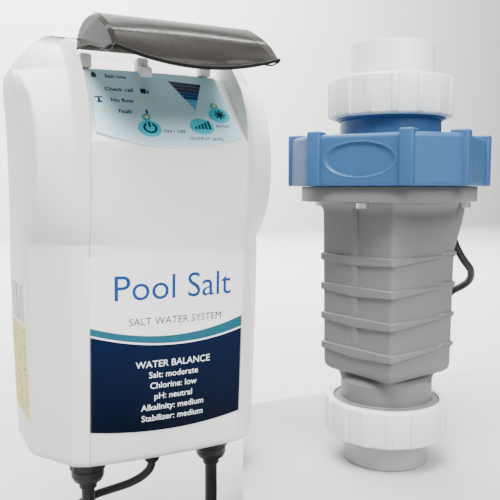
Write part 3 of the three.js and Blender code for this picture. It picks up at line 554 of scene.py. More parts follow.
def rounded_corner(before, corner, after, reach, count=7):
    """Columns of a quadratic curve that cuts a corner, a reach back along both of its sides."""
    back, on = before - corner, after - corner
    back = back / np.linalg.norm(back, axis=1)[:, None] * reach
    on = on / np.linalg.norm(on, axis=1)[:, None] * reach
    t = np.linspace(0, 1, count)[None, :, None]
    start, end = (corner + back)[:, None], (corner + on)[:, None]
    return (1 - t)**2 * start + 2 * t * (1 - t) * corner[:, None] + t**2 * end


def straight(first, last, count):
    """Columns between two others, without the ends, with one close to each end to keep it crisp."""
    t = np.concatenate([[0.03], np.linspace(0, 1, count + 2)[1:-1], [0.97]])[None, :, None]
    return first[:, None] * (1 - t) + last[:, None] * t


def front_y(x, z):
    """How far forward the bowed front is at x and z, between the wings' inner edges."""
    centre, edge = follow(CENTRE_Y, z), kinked(EDGE_Y_LOW, EDGE_Y, z)
    return edge + (centre - edge) * (1 - (np.asarray(x) / 60.0)**2)


def recess_y(z):
    """Depth at each height of the keypad's slope, the step above it and the hinge ledge."""
    top_y, top_z = PANEL_TOP
    reach = 68.0
    z_keys = [top_z - reach / math.tan(PANEL_TILT), top_z, top_z + 3, 139, 157]
    y_keys = [top_y - reach, top_y, top_y + 10, -64, -58.6]
    return np.interp(z, z_keys, y_keys, left=-400)


def tuck(z):
    """How far the skin draws in near the top and bottom edges: r - sqrt(r^2 - near^2)."""
    near = np.clip(EDGE_ROUND - np.minimum(z + CASE_HALF, CASE_HALF - z), 0, EDGE_ROUND)
    return EDGE_ROUND - np.sqrt(np.maximum(EDGE_ROUND**2 - near**2, 0))


def half_outline(z):
    """Columns of the right half of the front, from its centre line to the parting line."""
    def xy(x, y):
        return np.stack([np.broadcast_to(x, z.shape), np.broadcast_to(y, z.shape)], axis=1)

    inset = tuck(z)
    side = xy(follow(SIDE_X, z) - inset, kinked(SIDE_Y_LOW, SIDE_Y, z) + inset)
    crease = xy(follow(CREASE_X, z) - inset * 0.8, kinked(CREASE_Y_LOW, CREASE_Y, z) + inset)
    edge = xy(RECESS_HALF + 0.3 - inset * 0.4, kinked(EDGE_Y_LOW, EDGE_Y, z) + inset)
    parting = xy(side[:, 0] + follow(BULGE, z), PARTING)
    side[:, 1] = np.minimum(side[:, 1], PARTING - 3)
    across = np.array([0, 8, 16, 24, 32, 40, 47, 52.5, 56, 57.6])
    bowed = front_y(across[None, :], z[:, None]) + inset[:, None]
    floor_y = np.maximum(bowed, recess_y(z)[:, None])
    floor = np.stack([np.broadcast_to(across, floor_y.shape), floor_y], axis=2)
    deep = np.maximum(front_y(57.6, z) + inset, recess_y(z))
    rim = np.minimum(edge[:, 1], deep - 0.4)
    edge = np.stack([edge[:, 0], rim], axis=1)
    wall = np.stack([xy(RECESS_HALF - 0.2, deep), xy(RECESS_HALF, (deep + rim) / 2)], axis=1)
    corner = rounded_corner(xy(RECESS_HALF, rim + 2.2), edge, crease, 1.6, 5)
    fold = rounded_corner(edge, crease, side, 1.6, 5)
    nose = rounded_corner(crease, side, parting, 2.6, 7)
    cheek = straight(nose[:, -1], parting, 4)
    swell = np.sin(np.pi * np.concatenate([[0.03], np.linspace(0, 1, 6)[1:-1], [0.97]])) * 0.35
    cheek[..., 0] += swell * follow(BULGE, z)[:, None]
    columns = [floor, wall, corner, straight(corner[:, -1], fold[:, 0], 2), fold,
               straight(fold[:, -1], nose[:, 0], 3), nose, cheek, parting[:, None]]
    return np.concatenate(columns, axis=1)


def case_rows():
    """Heights of the rows: close at the ends, at the foot and at the keypad's top, open between."""
    ends = EDGE_ROUND * (1 - np.cos(np.linspace(0, np.pi / 2, 6)))
    low, high = -CASE_HALF + ends, CASE_HALF - ends[::-1]
    at_foot = [4.2, 4.9, 5.0, 5.1, 5.8, 7, 9]
    at_panel = [127, 128.4, 128.6, 128.8, 131.4, 131.6, 131.8, 135, 138.8, 139.1]
    middle = np.concatenate([np.arange(-148, 4, 6), at_foot, np.arange(12, 126, 3), at_panel,
                             np.arange(141, 151.5, 2)])
    return np.unique(np.concatenate([low, middle, high]))

# %% [markdown]
# The front cover mirrors the half outline to the left, and turns in at the parting line to
# make a lip. The housing behind it is a plain ring with rounded back corners. Both could be
# hollow, but nothing shows their inside, so each is one closed skin.

# %% Front cover and rear housing
def at_heights(flat, z):
    """Rows of x and y with their heights added."""
    return np.concatenate([flat, np.broadcast_to(z[:, None, None], (*flat.shape[:2], 1))], axis=2)


def whole_front(z):
    """The right half and its mirror image, joined at the centre line, with the lip behind."""
    half = half_outline(z)
    left = half[:, :0:-1] * np.array([-1.0, 1.0])
    flat = np.concatenate([left, half], axis=1)
    lip = flat[:, [-1, 0]] * np.array([0.965, 1.0])
    return at_heights(np.concatenate([flat, lip], axis=1), z)


def rear_outline(z, back, front):
    """The rear housing's rings: flat back, straight sides, back corners of a quarter circle."""
    x = (follow(SIDE_X, z) + follow(BULGE, z) - tuck(z))[:, None]
    t = np.linspace(0, np.pi / 2, 8)[None, :]
    quarter_x = x - EDGE_ROUND * (1 - np.cos(t))
    quarter_y = np.broadcast_to(back - EDGE_ROUND * (1 - np.sin(t)), quarter_x.shape)
    side_y = np.broadcast_to([front, front + 12], (len(z), 2))
    right = np.stack([np.concatenate([x, x, quarter_x], axis=1),
                      np.concatenate([side_y, quarter_y], axis=1)], axis=2)
    left = right[:, ::-1] * np.array([-1.0, 1.0])
    return at_heights(np.concatenate([right, left], axis=1), z)


z_rows = case_rows()
piece("front_cover_skin", outward(grid(whole_front(z_rows))), case_white,
      replaces=["front_cover"], sharp=28)
piece("rear_housing_skin", outward(grid(rear_outline(z_rows, -3.0, PARTING + 1.4))), case_white,
      replaces=["rear_housing"], sharp=28)

# %% [markdown]
# Small solid pieces, such as lugs, keys and cap bosses, are a flat outline carried up
# through levels that draw in at the ends. The amount drawn in at each level follows a
# quarter circle, so every edge is rounded the way a moulded edge is.

# %% Rounded solids
def rounded_box_outline(width, depth, radius, count=6):
    """Corners of a rectangle with quarter circles, anticlockwise."""
    a = np.linspace(0, np.pi / 2, count)
    quarter = np.stack([np.cos(a), np.sin(a)], axis=1) * radius
    corner = np.array([width / 2 - radius, depth / 2 - radius])
    parts = []
    for k, sign in enumerate([(1, 1), (-1, 1), (-1, -1), (1, -1)]):
        c, s = round(math.cos(k * math.pi / 2)), round(math.sin(k * math.pi / 2))
        parts.append(quarter @ np.array([[c, s], [-s, c]]) + corner * np.array(sign))
    return np.concatenate(parts)


def oval_outline(width, depth, count=48):
    """Points of an ellipse."""
    a = np.linspace(0, 2 * np.pi, count, endpoint=False)
    return np.stack([np.cos(a) * width / 2, np.sin(a) * depth / 2], axis=1)


def pillow(outline, low, high, edge, bottom_edge=0.0, steps=5):
    """The outline from low to high, drawn in at each end by a quarter circle of the edge."""
    size = np.abs(outline).max(axis=0)
    a = np.linspace(0, np.pi / 2, steps)
    levels = [(low, 0.0)]
    if bottom_edge:
        levels = [(low + bottom_edge * (1 - math.cos(t)), bottom_edge * (1 - math.sin(t)))
                  for t in a]
    levels += [(high - edge * (1 - math.sin(t)), edge * (1 - math.cos(t))) for t in a]
    rows = [np.column_stack([outline * (1 - inset / size), np.full(len(outline), z)])
            for z, inset in levels]
    return outward(grid(np.array(rows)))


def onto_panel(mesh):
    """A mesh drawn flat, y up the slope and z out of it, laid on the keypad."""
    return moved(mesh, turn_x(math.pi / 2 - PANEL_TILT), (0, *PANEL_TOP))

# %% [markdown]
# The keypad is a printed film on a sloping plate. Its blue is stronger at the top. Its
# outline narrows towards the top and bows at the foot.

# %% Keypad film
def panel_outline(count=28):
    """Top edge, right side, bowed foot and left side of the film, as one closed line."""
    def bow(start, pull, end):
        return np.outer((1 - t)**2, start) + np.outer(2 * t * (1 - t), pull) + np.outer(t**2, end)

    def line(start, end):
        return np.outer(1 - t, start) + np.outer(t, end)

    t = np.linspace(0, 1, count)
    top_left, top_right = (-49.3, 0), (49.3, 0)
    low_left, low_right = (-54.6, -61.5), (54.6, -61.5)
    sides = [bow(top_left, (0, 2), top_right), line(top_right, low_right),
             bow(low_right, (0, -85.5), low_left), line(low_left, top_left)]
    return np.concatenate([side[:-1] for side in sides])


def film_material():
    """Pale blue, deeper towards the top of the slope, with the faint mottle of printed film."""
    s = Surface("keypad_film", coat=0.3)
    x, y, z = s.axes()
    height = ((z - 72) * (1 / 57)).larger(0).smaller(1)
    base = s.mix(height, rgba((0.55, 0.80, 0.90)), rgba((0.33, 0.60, 0.71)))
    cells = s.noise(260, 3)
    s.set("Base Color", s.mix((cells - 0.45) * 0.5, base, rgba((0.64, 0.86, 0.93))))
    s.set("Roughness", s.noise(70, 2) * 0.1 + 0.30)
    s.bump(s.noise(2200, 1), 0.00001)
    return s.material


outline = panel_outline()
film_levels = [(0.3, 1.0), (1.5, 1.0), (1.85, 0.996), (1.9, 0.99)]
film_rows = [np.column_stack([outline * k, np.full(len(outline), z)]) for z, k in film_levels]
piece("keypad_film", onto_panel(outward(grid(np.array(film_rows)))), film_material(),
      replaces=["keypad_panel"])

# %% [markdown]
# The film carries a fan of small bars that shows how hard the cell works, a column of four
# lamps with a picture and a word each, and three keys. The print is thin raised shapes.

# %% Print on the keypad
def flat_print(name, colour, roughness=0.4, glow=None):
    """Ink: even in tone, its gloss a little uneven."""
    s = Surface(name)
    s.set("Specular IOR Level", 0.2)
    s.set("Base Color", s.mix(s.noise(500, 3), rgba(shaded(colour, 0.92)),
                              rgba(shaded(colour, 1.06))))
    s.set("Roughness", s.noise(300, 2) * 0.12 + (roughness - 0.06))
    if glow:
        s.set("Emission Color", rgba(glow))
        s.set("Emission Strength", 0.25)
    return s.material


ink_navy = flat_print("ink_navy", (0.008, 0.018, 0.055), 0.35)
ink_blue = flat_print("ink_blue", (0.004, 0.045, 0.20), 0.35)
ink_sky = flat_print("ink_sky", (0.10, 0.36, 0.62), 0.35)
ink_white = flat_print("ink_white", (0.86, 0.88, 0.88), 0.4)
lamp_amber = flat_print("lamp_amber", (0.75, 0.36, 0.03), 0.25, (1.0, 0.45, 0.05))
PRINT_LOW, PRINT_HIGH = 1.9, 2.0          # levels of flat print above the keypad's plate


def text_mesh(words, height, bold=0.012):
    """Letters as a mesh in millimetres, flat, with z as thickness; centred on the origin."""
    data = bpy.data.curves.new("words", "FONT")
    data.body, data.align_x, data.align_y = words, "CENTER", "CENTER"
    data.extrude = 0.05 / height
    data.offset = bold
    data.resolution_u = 4
    thing = bpy.data.objects.new("words", data)
    bpy.context.scene.collection.objects.link(thing)
    bpy.context.view_layer.update()
    mesh = bpy.data.meshes.new_from_object(thing)
    points = np.empty(len(mesh.vertices) * 3)
    mesh.vertices.foreach_get("co", points)
    faces = [list(face.vertices) for face in mesh.polygons]
    bpy.data.objects.remove(thing)
    bpy.data.curves.remove(data)
    bpy.data.meshes.remove(mesh)
    return points.reshape(-1, 3) * height, faces


def slab(outline, low=PRINT_LOW, high=PRINT_HIGH):
    """A flat shape with a thickness, printed on the film unless told otherwise."""
    return outward(grid(np.array([np.column_stack([outline, np.full(len(outline), z)])
                                  for z in (low, high)])))


def band_of_fan(k, count=8):
    """One bar of the fan: a slice across the wedge, as a closed four-sided outline."""
    left, right, tip = np.array([9.5, -7.0]), np.array([35.5, -8.8]), np.array([24.1, -36.9])
    a, b = k / count, (k + 0.92) / count
    return np.array([left + (tip - left) * a, right + (tip - right) * a,
                     right + (tip - right) * b, left + (tip - left) * b])[::-1]


fan_inks = [ink_navy, ink_navy, ink_navy, ink_blue, ink_blue, ink_sky, ink_sky, ink_sky]
for ink, label in ((ink_navy, "dark"), (ink_blue, "middle"), (ink_sky, "light")):
    bars = merged(*[slab(band_of_fan(k)) for k in range(8) if fan_inks[k] is ink])
    piece(f"fan_{label}_bars", onto_panel(bars), ink)

# each row: how far down, where its picture and its lamp are, and its words
LAMP_ROWS = [(6.4, -46.5, -14.0, "Salt low"), (19.8, -12.5, -46.5, "Check cell"),
             (30.8, -47, -14.5, "No flow"), (41.6, -14.5, -45.5, "Fault")]
lamps, words = [], []
for down, icon_x, dot_x, text in LAMP_ROWS:
    lamp = pillow(oval_outline(1.9, 1.9, 20), PRINT_LOW, 2.3, 0.2)
    lamps.append(moved(lamp, None, (dot_x, -down, 0)))
    words.append(moved(text_mesh(text, 5.0, bold=0.02), None, (-30.5, -down, 1.95)))
bottle = [rounded_box_outline(3.6, 4.2, 0.7, 3), rounded_box_outline(1.8, 1.6, 0.3, 3) + (0, 2.7)]
drum = [rounded_box_outline(4.4, 4.8, 0.9, 3), rounded_box_outline(1.2, 3.0, 0.3, 3) + (3.4, -0.6)]
valve = [rounded_box_outline(6.0, 1.1, 0.3, 3) + (0, 2.4), rounded_box_outline(1.5, 3.4, 0.3, 3),
         rounded_box_outline(4.2, 1.3, 0.3, 3) + (0, -2.2)]
mark = [rounded_box_outline(1.5, 4.2, 0.5, 3) + (0, 0.8),
        rounded_box_outline(1.5, 1.3, 0.5, 3) + (0, -2.6)]
for (down, icon_x, dot_x, text), icon in zip(LAMP_ROWS, (bottle, drum, valve, mark)):
    words += [moved(slab(shape), None, (icon_x, -down, 0)) for shape in icon]
captions = [("ON / OFF", 2.0, 59.5, 4.0), ("OUTPUT LEVEL", 25.5, 65.5, 4.0),
            ("BOOST", 42.0, 52.2, 3.6)]
words += [moved(text_mesh(text, height), None, (x, -down, 1.95))
          for text, x, down, height in captions]
piece("lamp_words", onto_panel(merged(*words)), ink_navy)
piece("lamp_row", onto_panel(merged(*lamps)), lamp_amber,
      replaces=["light_guide"])

# %% [markdown]
# The three keys are domed ovals in teal; the power and boost keys each have a small tab that holds its
# own lamp.

# %% Keys
teal = plastic("key_teal", (0.03, 0.42, 0.52), 0.38, 0.00002, 900, 0.05, shine=0.25)
teal_dark = flat_print("ink_teal_dark", (0.003, 0.018, 0.04), 0.35)
KEY_BASE, KEY_TOP = 1.2, 3.1              # levels of the keys above the keypad's plate


def arc_bar(radius, width, start, end, count=24):
    """A curved stroke as a closed outline."""
    a = np.radians(np.linspace(start, end, count))
    ray = np.stack([np.cos(a), np.sin(a)], axis=1)
    return np.concatenate([ray * (radius + width / 2), ray[::-1] * (radius - width / 2)])


def bar(x0, y0, x1, y1, width):
    """A straight stroke as a closed outline."""
    d = np.array([x1 - x0, y1 - y0], float)
    n = np.array([-d[1], d[0]]) / np.linalg.norm(d) * width / 2
    a, b = np.array([x0, y0]), np.array([x1, y1])
    return np.array([a - n, b - n, b + n, a + n])


power_sign = [arc_bar(4.3, 1.5, -240, 60), bar(0, 0.8, 0, 5.8, 1.5)]
output_sign = [bar(-5.4 + 2.7 * k, -3.4, -5.4 + 2.7 * k, -1.2 + 1.5 * k, 1.7) for k in range(5)]
boost_sign = [bar(-4.6 * math.cos(a), -4.6 * math.sin(a), 4.6 * math.cos(a), 4.6 * math.sin(a),
                  1.3) for a in np.radians([0, 45, 90, 135])]
# each key: its name, place, width, height, the place of its lamp's tab, and its sign
KEYS = [("power", -16, 57.8, 17, 15.5, (-16.3, 46.7), power_sign),
        ("output", 24.5, 53.5, 18.5, 15.5, None, output_sign),
        ("boost", 41.8, 41.4, 16.5, 15.0, (40.2, 31.6), boost_sign)]
for name, x, down, wide, tall, tab, sign in KEYS:
    dome = pillow(oval_outline(wide, tall, 56), KEY_BASE, KEY_TOP, 1.0, steps=8)
    parts = [moved(dome, None, (x, -down, 0))]
    if tab:
        parts.append(moved(pillow(oval_outline(6.4, 6.6, 32), KEY_BASE, 2.5, 0.4), None,
                           (tab[0], -tab[1], 0)))
    piece(f"{name}_key_face", onto_panel(merged(*parts)), teal, f"{name}_key",
          [f"{name}_button"], 40)
    marks = merged(*[moved(slab(stroke, KEY_TOP - 0.02, KEY_TOP + 0.1), None, (x, -down, 0))
                     for stroke in sign])
    piece(f"{name}_key_sign", onto_panel(marks), teal_dark, f"{name}_key")
    if tab:
        lamp = pillow(oval_outline(2.2, 2.2, 20), KEY_BASE, 2.9, 0.3)
        lamp = moved(lamp, None, (tab[0], -tab[1], 0))
        piece(f"{name}_key_lamp", onto_panel(lamp), lamp_amber, f"{name}_key")

# %% [markdown]
# The front label is a printed film that follows the bow of the case. Its wave and its dark
# foot are lines across the sheet, and the whole print is worked out in the material from
# the height and the distance across.

# %% Front label
LABEL_HALF = 62.0                         # half of the label's width
WHITE_LINE = 1.3                          # width of the line between the wave and the foot


def label_material():
    """White above, a teal wave, a thin white line and navy below.

    The navy's upper edge is z = 9.2 u^2 - 1.6 u - 69.3, with u from -1 to 1 across the sheet.
    The teal band lies 1.3 mm above it and is 5.7 + 1.8 u + 1.3 u^2 wide.
    """
    s = Surface("front_label_print")
    s.set("Specular IOR Level", 0.06)
    x, y, z = s.axes()
    u = x * (1 / (LABEL_HALF + 0.5))
    rise = u * -1.6 + u * u * 9.2 - 69.3
    depth = rise - z
    band = u * 1.8 + u * u * 1.3 + 5.7
    print_noise = s.noise(700, 2) * 0.10 + 0.95
    teal_at = (depth > (band * -1 - WHITE_LINE)) * (depth < -WHITE_LINE)
    navy_at = depth > 0
    white = s.mix(s.noise(35, 2), rgba((0.83, 0.84, 0.83)), rgba((0.88, 0.88, 0.88)))
    teal_ink = s.mix(s.noise(300, 2), rgba((0.015, 0.085, 0.125)), rgba((0.018, 0.11, 0.16)))
    deep = ((z + 131) * (1 / 70)).larger(0).smaller(1)
    navy_ink = s.mix(deep * print_noise, rgba((0.001, 0.003, 0.011)), rgba((0.0015, 0.007, 0.032)))
    s.set("Base Color", s.mix(navy_at, s.mix(teal_at, white, teal_ink), navy_ink))
    s.set("Roughness", s.noise(120, 3) * 0.12 + 0.30)
    s.bump(s.noise(1500, 1), 0.00001)
    return s.material


def label_sheet():
    """Front and back grids of a sheet just ahead of the case: arched top, bowed foot."""
    u = np.linspace(-1, 1, 61)
    t = np.linspace(0, 1, 49)[:, None]
    top = -4.5 + 3.5 * (1 - u**2)
    foot = -129.0 - 5.0 * (1 - u**2)
    z = foot * (1 - t) + top * t
    x = np.broadcast_to(u * LABEL_HALF, z.shape)
    y = front_y(np.clip(x, -58, 58), z)
    side_step = (np.abs(x) - 58.3).clip(0) * 0.62
    skin = np.stack([x, y + side_step - 0.45, z], axis=2)
    back = skin + np.array([0, 0.6, 0])
    return skin, back


def sheet_solid(front, back):
    """Two matching grids joined round their edge into a thin closed sheet."""
    ring = np.concatenate([front, back[:, ::-1]], axis=1)
    return outward(grid(ring))


piece("front_label_sheet", sheet_solid(*label_sheet()), label_material(),
      replaces=["front_label"], sharp=40)


def label_text(words, height, x, z):
    """Letters wrapped on the bow of the case, with their middle at the given place."""
    points, faces = text_mesh(words, height, bold=0.0)
    px, pz = points[:, 0] + x, points[:, 1] + z
    py = front_y(np.clip(px, -58, 58), pz) - 0.5 - points[:, 2]
    return np.stack([px, py, pz], axis=1), faces


piece("label_title", label_text("Pool Salt", 26, 2, -27), ink_blue)
piece("label_subtitle", label_text("SALT WATER SYSTEM", 7.6, 4, -51), ink_navy)
lines = ["WATER BALANCE", "Salt: moderate", "Chlorine: low", "pH: neutral", "Alkalinity: medium",
         "Stabilizer: medium"]
note = [label_text(text, 6.6 if k else 7.2, 2, -83 - 8.2 * k) for k, text in enumerate(lines)]
piece("label_notes", merged(*note), ink_white)

# %% [markdown]
# Two small stickers sit on the left side of the case: a white one with bars and a yellow
# one with lines of small print. Each is cut at the parting line, so there is one sheet on
# the cover and one on the housing. The print is a pattern in the material.

# %% Side stickers
def sticker_material(name, paper, ink, bars):
    """Paper with upright bars, or with rows of broken lines, from steps across the sheet."""
    s = Surface(name)
    x, y, z = s.axes()
    s.set("Specular IOR Level", 0.25)
    fine = s.noise(900, 1, (0.02, 1, 0.02)) if bars else s.noise(420, 1, (1, 1, 0.4))
    rows = (z * 0.24).maths("FRACT") < (1.0 if bars else 0.42)
    inked = (fine > 0.52) * rows * (y < -16) * (y > -62)
    sheet = s.mix(s.noise(60, 2), rgba(shaded(paper, 0.94)), rgba(paper))
    s.set("Base Color", s.mix(inked * 0.8, sheet, rgba(ink)))
    s.set("Roughness", s.noise(200, 2) * 0.1 + 0.42)
    s.bump(inked, 0.000005)
    return s.material


def side_x(y, z):
    """Where the left side of the case is, at a depth and a height."""
    z = np.asarray(z, float)
    bulge = follow(BULGE, z)
    wide = follow(SIDE_X, z) + bulge
    share = np.clip((y - PARTING) / (kinked(SIDE_Y_LOW, SIDE_Y, z) - PARTING + 0.001), 0, 1)
    return -(wide - bulge * share + 0.35 * bulge * np.sin(np.pi * share))


def side_sticker(low, high, front, back):
    """A thin sheet lying on the left side."""
    z, y = np.meshgrid(np.linspace(low, high, 24), np.linspace(front, back, 24), indexing="ij")
    face = np.stack([side_x(y, z) - 0.25, y, z], axis=2)
    return sheet_solid(face, face + np.array([0.6, 0, 0]))


# each sticker: its name, low and high edge, front and back edge, and whether it has bars
STICKERS = [("bar_sticker", -55, -27, -66, -52, True), ("data_sticker", -128, -58, -63, -52, False),
            ("bar_sticker_rear", -55, -27, -46, -10, True),
            ("data_sticker_rear", -128, -58, -46, -8, False)]
for name, low, high, front, back, bars in STICKERS:
    paper, ink = (0.78, 0.78, 0.76), (0.02, 0.02, 0.02)
    if not bars:
        paper, ink = (0.72, 0.62, 0.10), (0.05, 0.04, 0.01)
    piece(name, side_sticker(low, high, front, back), sticker_material(name, paper, ink, bars))
print("label and keys made")

# %% [markdown]
# The lid is one moulding of smoked plastic: a curved roof with end walls, thin all through.
# Its free edge bows down in the middle. Light passes through it and greys, so the material
# mixes a dark glossy skin with plain transparency. That shows what is under the lid without
# the noise of true refraction. Three dark strips mark its free edge and its lower edges.

# %% Smoked lid
def smoked():
    """Grey see-through plastic: a mix of a dark glossy skin and plain transparency."""
    s = Surface("smoked_plastic", 0.16)
    s.set("Specular IOR Level", 0.15)
    cloud = s.noise(45, 3)
    s.set("Base Color", s.mix(cloud, rgba((0.035, 0.034, 0.030)), rgba((0.055, 0.052, 0.047))))
    s.set("Roughness", s.noise(200, 3) * 0.10 + 0.12)
    s.bump(s.noise(600, 2), 0.00001)
    clear = s.tree.nodes.new("ShaderNodeBsdfTransparent")
    clear.inputs["Color"].default_value = (0.27, 0.265, 0.245, 1)
    both = s.tree.nodes.new("ShaderNodeMixShader")
    plug(s.tree, both.inputs[0], s.noise(30, 2) * 0.10 + 0.38)
    s.tree.links.new(clear.outputs[0], both.inputs[1])
    s.tree.links.new(s.shader.outputs[0], both.inputs[2])
    s.tree.links.new(both.outputs[0], s.tree.nodes["Material Output"].inputs["Surface"])
    return s.material


ROOF = [(-82, 151), (-91, 157), (-107, 160.5), (-128, 159), (-148, 150.5), (-163.5, 139.5),
        (-171.5, 129), (-176, 120.5)]
UNDER = [(-82, 143), (-92, 143.2), (-110, 141.2), (-130, 137.5), (-152, 130.5), (-165, 126.5),
         (-171, 124), (-174.4, 119.5)]
LID_HALF = 57.0            # half of the lid's width
LID_ROWS = 90
LID_WALL = 2.2
LID_EDGE = 2.2             # radius of the roof's side edges
LID_BOW = 9.0              # how much higher the free edge is at its sides than in the middle


def bow_share(share):
    """How much of the bow is there along the lid: none over the first part, all at the edge."""
    return np.clip((share - 0.55) / 0.45, 0, 1)**2


def along(points):
    """A side line of the lid as evenly shared rows of depth and height."""
    curve = smooth_path([(0, y, z) for y, z in points], 1.6)[:, 1:]
    at = np.linspace(0, 1, len(curve))
    share = np.linspace(0, 1, LID_ROWS)
    return np.stack([np.interp(share, at, curve[:, k]) for k in (0, 1)], axis=1)


def lid_roof():
    """The roof as a grid along and across, with the direction out of it for every row."""
    line = along(ROOF)
    ahead = np.gradient(line, axis=0)
    normal = np.stack([ahead[:, 1], -ahead[:, 0]], axis=1)
    normal /= np.linalg.norm(normal, axis=1)[:, None]
    normal *= np.sign(normal[20, 1])
    across = np.linspace(-1, 1, 41)
    near = np.clip((np.abs(across) * LID_HALF - (LID_HALF - LID_EDGE)) / LID_EDGE, 0, 1)
    drop = LID_EDGE * (1 - np.sqrt(1 - near**2))
    lift = LID_BOW * np.outer(bow_share(np.linspace(0, 1, LID_ROWS)), across**2)
    top = np.empty((*lift.shape, 3))
    top[..., 0] = across * LID_HALF
    top[..., 1] = line[:, :1] - normal[:, :1] * drop
    top[..., 2] = line[:, 1:] - normal[:, 1:] * drop + lift
    return top, normal


def lid_mesh():
    """Outer skin, end walls and inner skin of the lid as one closed ring of columns."""
    def end(x, steps):
        """Columns of an end wall, at steps from the roof down to the lower line."""
        return [np.stack([np.full(LID_ROWS, x), top[:, 0, 1] * (1 - t) + under[:, 0] * t,
                          top[:, 0, 2] * (1 - t) + foot * t], axis=1)[:, None] for t in steps]

    top, normal = lid_roof()
    under = along(UNDER)
    lift = LID_BOW * bow_share(np.linspace(0, 1, LID_ROWS))
    foot = np.minimum(under[:, 1] + lift, top[:, 0, 2] - 0.8)
    inner = top[:, 2:-2].copy()
    inner[..., 0] *= (LID_HALF - LID_WALL) / LID_HALF * 1.02
    inner[..., 1:] -= normal[:, None] * LID_WALL
    down, up = (0.35, 0.7, 1.0), (1.0, 0.7, 0.35)
    ring = [top, *end(LID_HALF, down), *end(LID_HALF - 2.0, up), inner[:, ::-1],
            *end(2.0 - LID_HALF, down), *end(-LID_HALF, up)]
    return outward(grid(np.concatenate(ring, axis=1)))


def rod_x(x0, x1, y, z, radius, sides=28):
    """A round bar along the left-right axis with slightly rounded ends."""
    a = np.linspace(0, 2 * np.pi, sides, endpoint=False)
    ends = [(0, 0.86), (0.3, 0.97), (0.6, 1.0)]
    rows = [(x0 + d, radius * k) for d, k in ends] + [(x1 - d, radius * k) for d, k in ends[::-1]]
    rings_of_rod = [np.stack([np.full(sides, x), y + np.cos(a) * r, z + np.sin(a) * r], axis=1)
                    for x, r in rows]
    return outward(grid(np.array(rings_of_rod)))


def thick_plate(points_yz, x0, x1):
    """A flat plate standing across the lid: an outline in y and z between two places across."""
    outline = np.array(points_yz, float)
    rows = [np.column_stack([np.full(len(outline), x), outline]) for x in (x0, x1)]
    return outward(grid(np.array(rows)))


smoke = smoked()
gusset = [(-84, 142), (-84, 150), (-95, 156), (-112, 157.5), (-100, 148), (-92, 143)]
lid_parts = [lid_mesh(), rod_x(-54.5, 54.5, -82, 147, 4.0)]
lid_parts += [thick_plate(gusset, x, x + 1.6) for x in (-13, -4, 36, 52)]
piece("lid_shell", merged(*lid_parts), smoke, "lid", ["smoked_lid"], 32)
t = np.linspace(-1, 1, 60)
rim_path = np.stack([t * 56.6, np.full(60, -175.4), 120.8 + LID_BOW * t**2], axis=1)
rim_dark = plastic("lid_rim", (0.004, 0.004, 0.004), 0.45, 0.00002, 700, 0.1, shine=0.1)
piece("lid_rim", tube(rim_path, 2.3, 12), rim_dark, "lid")
ease = np.linspace(0, 1, 40)
for side, label in ((-1, "left"), (1, "right")):
    y, z = [np.interp(ease, np.linspace(0, 1, 8), line) for line in zip(*UNDER)]
    z = z + LID_BOW * bow_share(ease)
    edge_path = np.stack([np.full(40, side * 56.4), y, z], axis=1)
    piece(f"lid_rim_{label}", tube(edge_path, 1.2, 10), rim_dark, "lid")

# %% [markdown]
# Three white lugs stand on the ledge under the lid and carry its pin, a plain steel bar that
# the lid turns about. A lug is a rounded block, because little of it shows under the lid.

# %% Hinge lugs and pin
for k, x in enumerate((-50, -7, 44)):
    lug = moved(pillow(rounded_box_outline(9, 11, 2.2), 132, 141.6, 2.0), None, (x, -75.5, 0))
    piece(f"hinge_lug_{k + 1}", lug, case_white)
knob = moved(pillow(rounded_box_outline(10, 9, 3.2), 126.5, 134.5, 2.6, 1.0), None, (-7, -84.5, 0))
piece("centre_lug_knob", knob, case_white)
piece("hinge_pin_bar", rod_x(-55, 55, -82, 147, 1.75), steel, replaces=["hinge_pin"])

# %% [markdown]
# Each cord leaves through a black grip: a nut, a collar and a tapering sleeve, all turned
# about the cord. Their outline is turned as a lathe would turn it.

# %% Cord grips
def lathe(profile, sides=64, ribs=0, rib_depth=0.0, rib_rows=(0, 0)):
    """Radius and height pairs turned about the upright axis, closed through the bore."""
    profile = np.array(profile, float)
    a = np.linspace(0, 2 * np.pi, sides, endpoint=False)
    wave = np.ones((len(profile), sides)) * profile[:, :1]
    if ribs:
        inside = (profile[:, 1] >= rib_rows[0]) & (profile[:, 1] <= rib_rows[1])
        tooth = np.clip(np.cos(a * ribs) * 2.2, -1, 1) * 0.5 + 0.5
        wave[inside] += rib_depth * tooth[None, :]
    points = np.stack([wave * np.cos(a), wave * np.sin(a),
                       np.broadcast_to(profile[:, 1:], wave.shape)], axis=2)
    return outward(grid(points, close_rows=True))


GLAND = [(5.3, -150.4), (9.9, -150.4), (9.9, -157.0), (12.6, -157.0), (13.0, -157.4), (13.0, -162.6),
         (12.6, -163.0), (11.6, -163.3), (12.1, -163.8), (12.1, -168.6), (11.6, -169.4), (10.4, -172),
         (7.4, -172.8), (6.9, -173.2), (6.5, -177.6), (6.1, -178.0), (5.3, -178.0)]
for name, at in (("power_gland", (-56, -86, 0)), ("cell_gland", (45, -84, 0))):
    grip = moved(lathe(GLAND, 72, 12, 0.35, (-162.7, -157.3)), None, at)
    piece(name + "_grip", grip, black_plastic, replaces=[name], sharp=30)
SLEEVE = [(3.6, -152.4), (6.6, -152.4), (7.0, -152.9), (7.0, -156.0), (6.2, -156.8), (5.6, -158),
          (5.6, -159.2), (6.0, -159.6), (5.2, -162.4), (4.8, -163.0), (3.6, -163.0)]
piece("sensor_grommet_sleeve", moved(lathe(SLEEVE), None, (-9, -95, 0)), black_rubber,
      replaces=["sensor_grommet"])

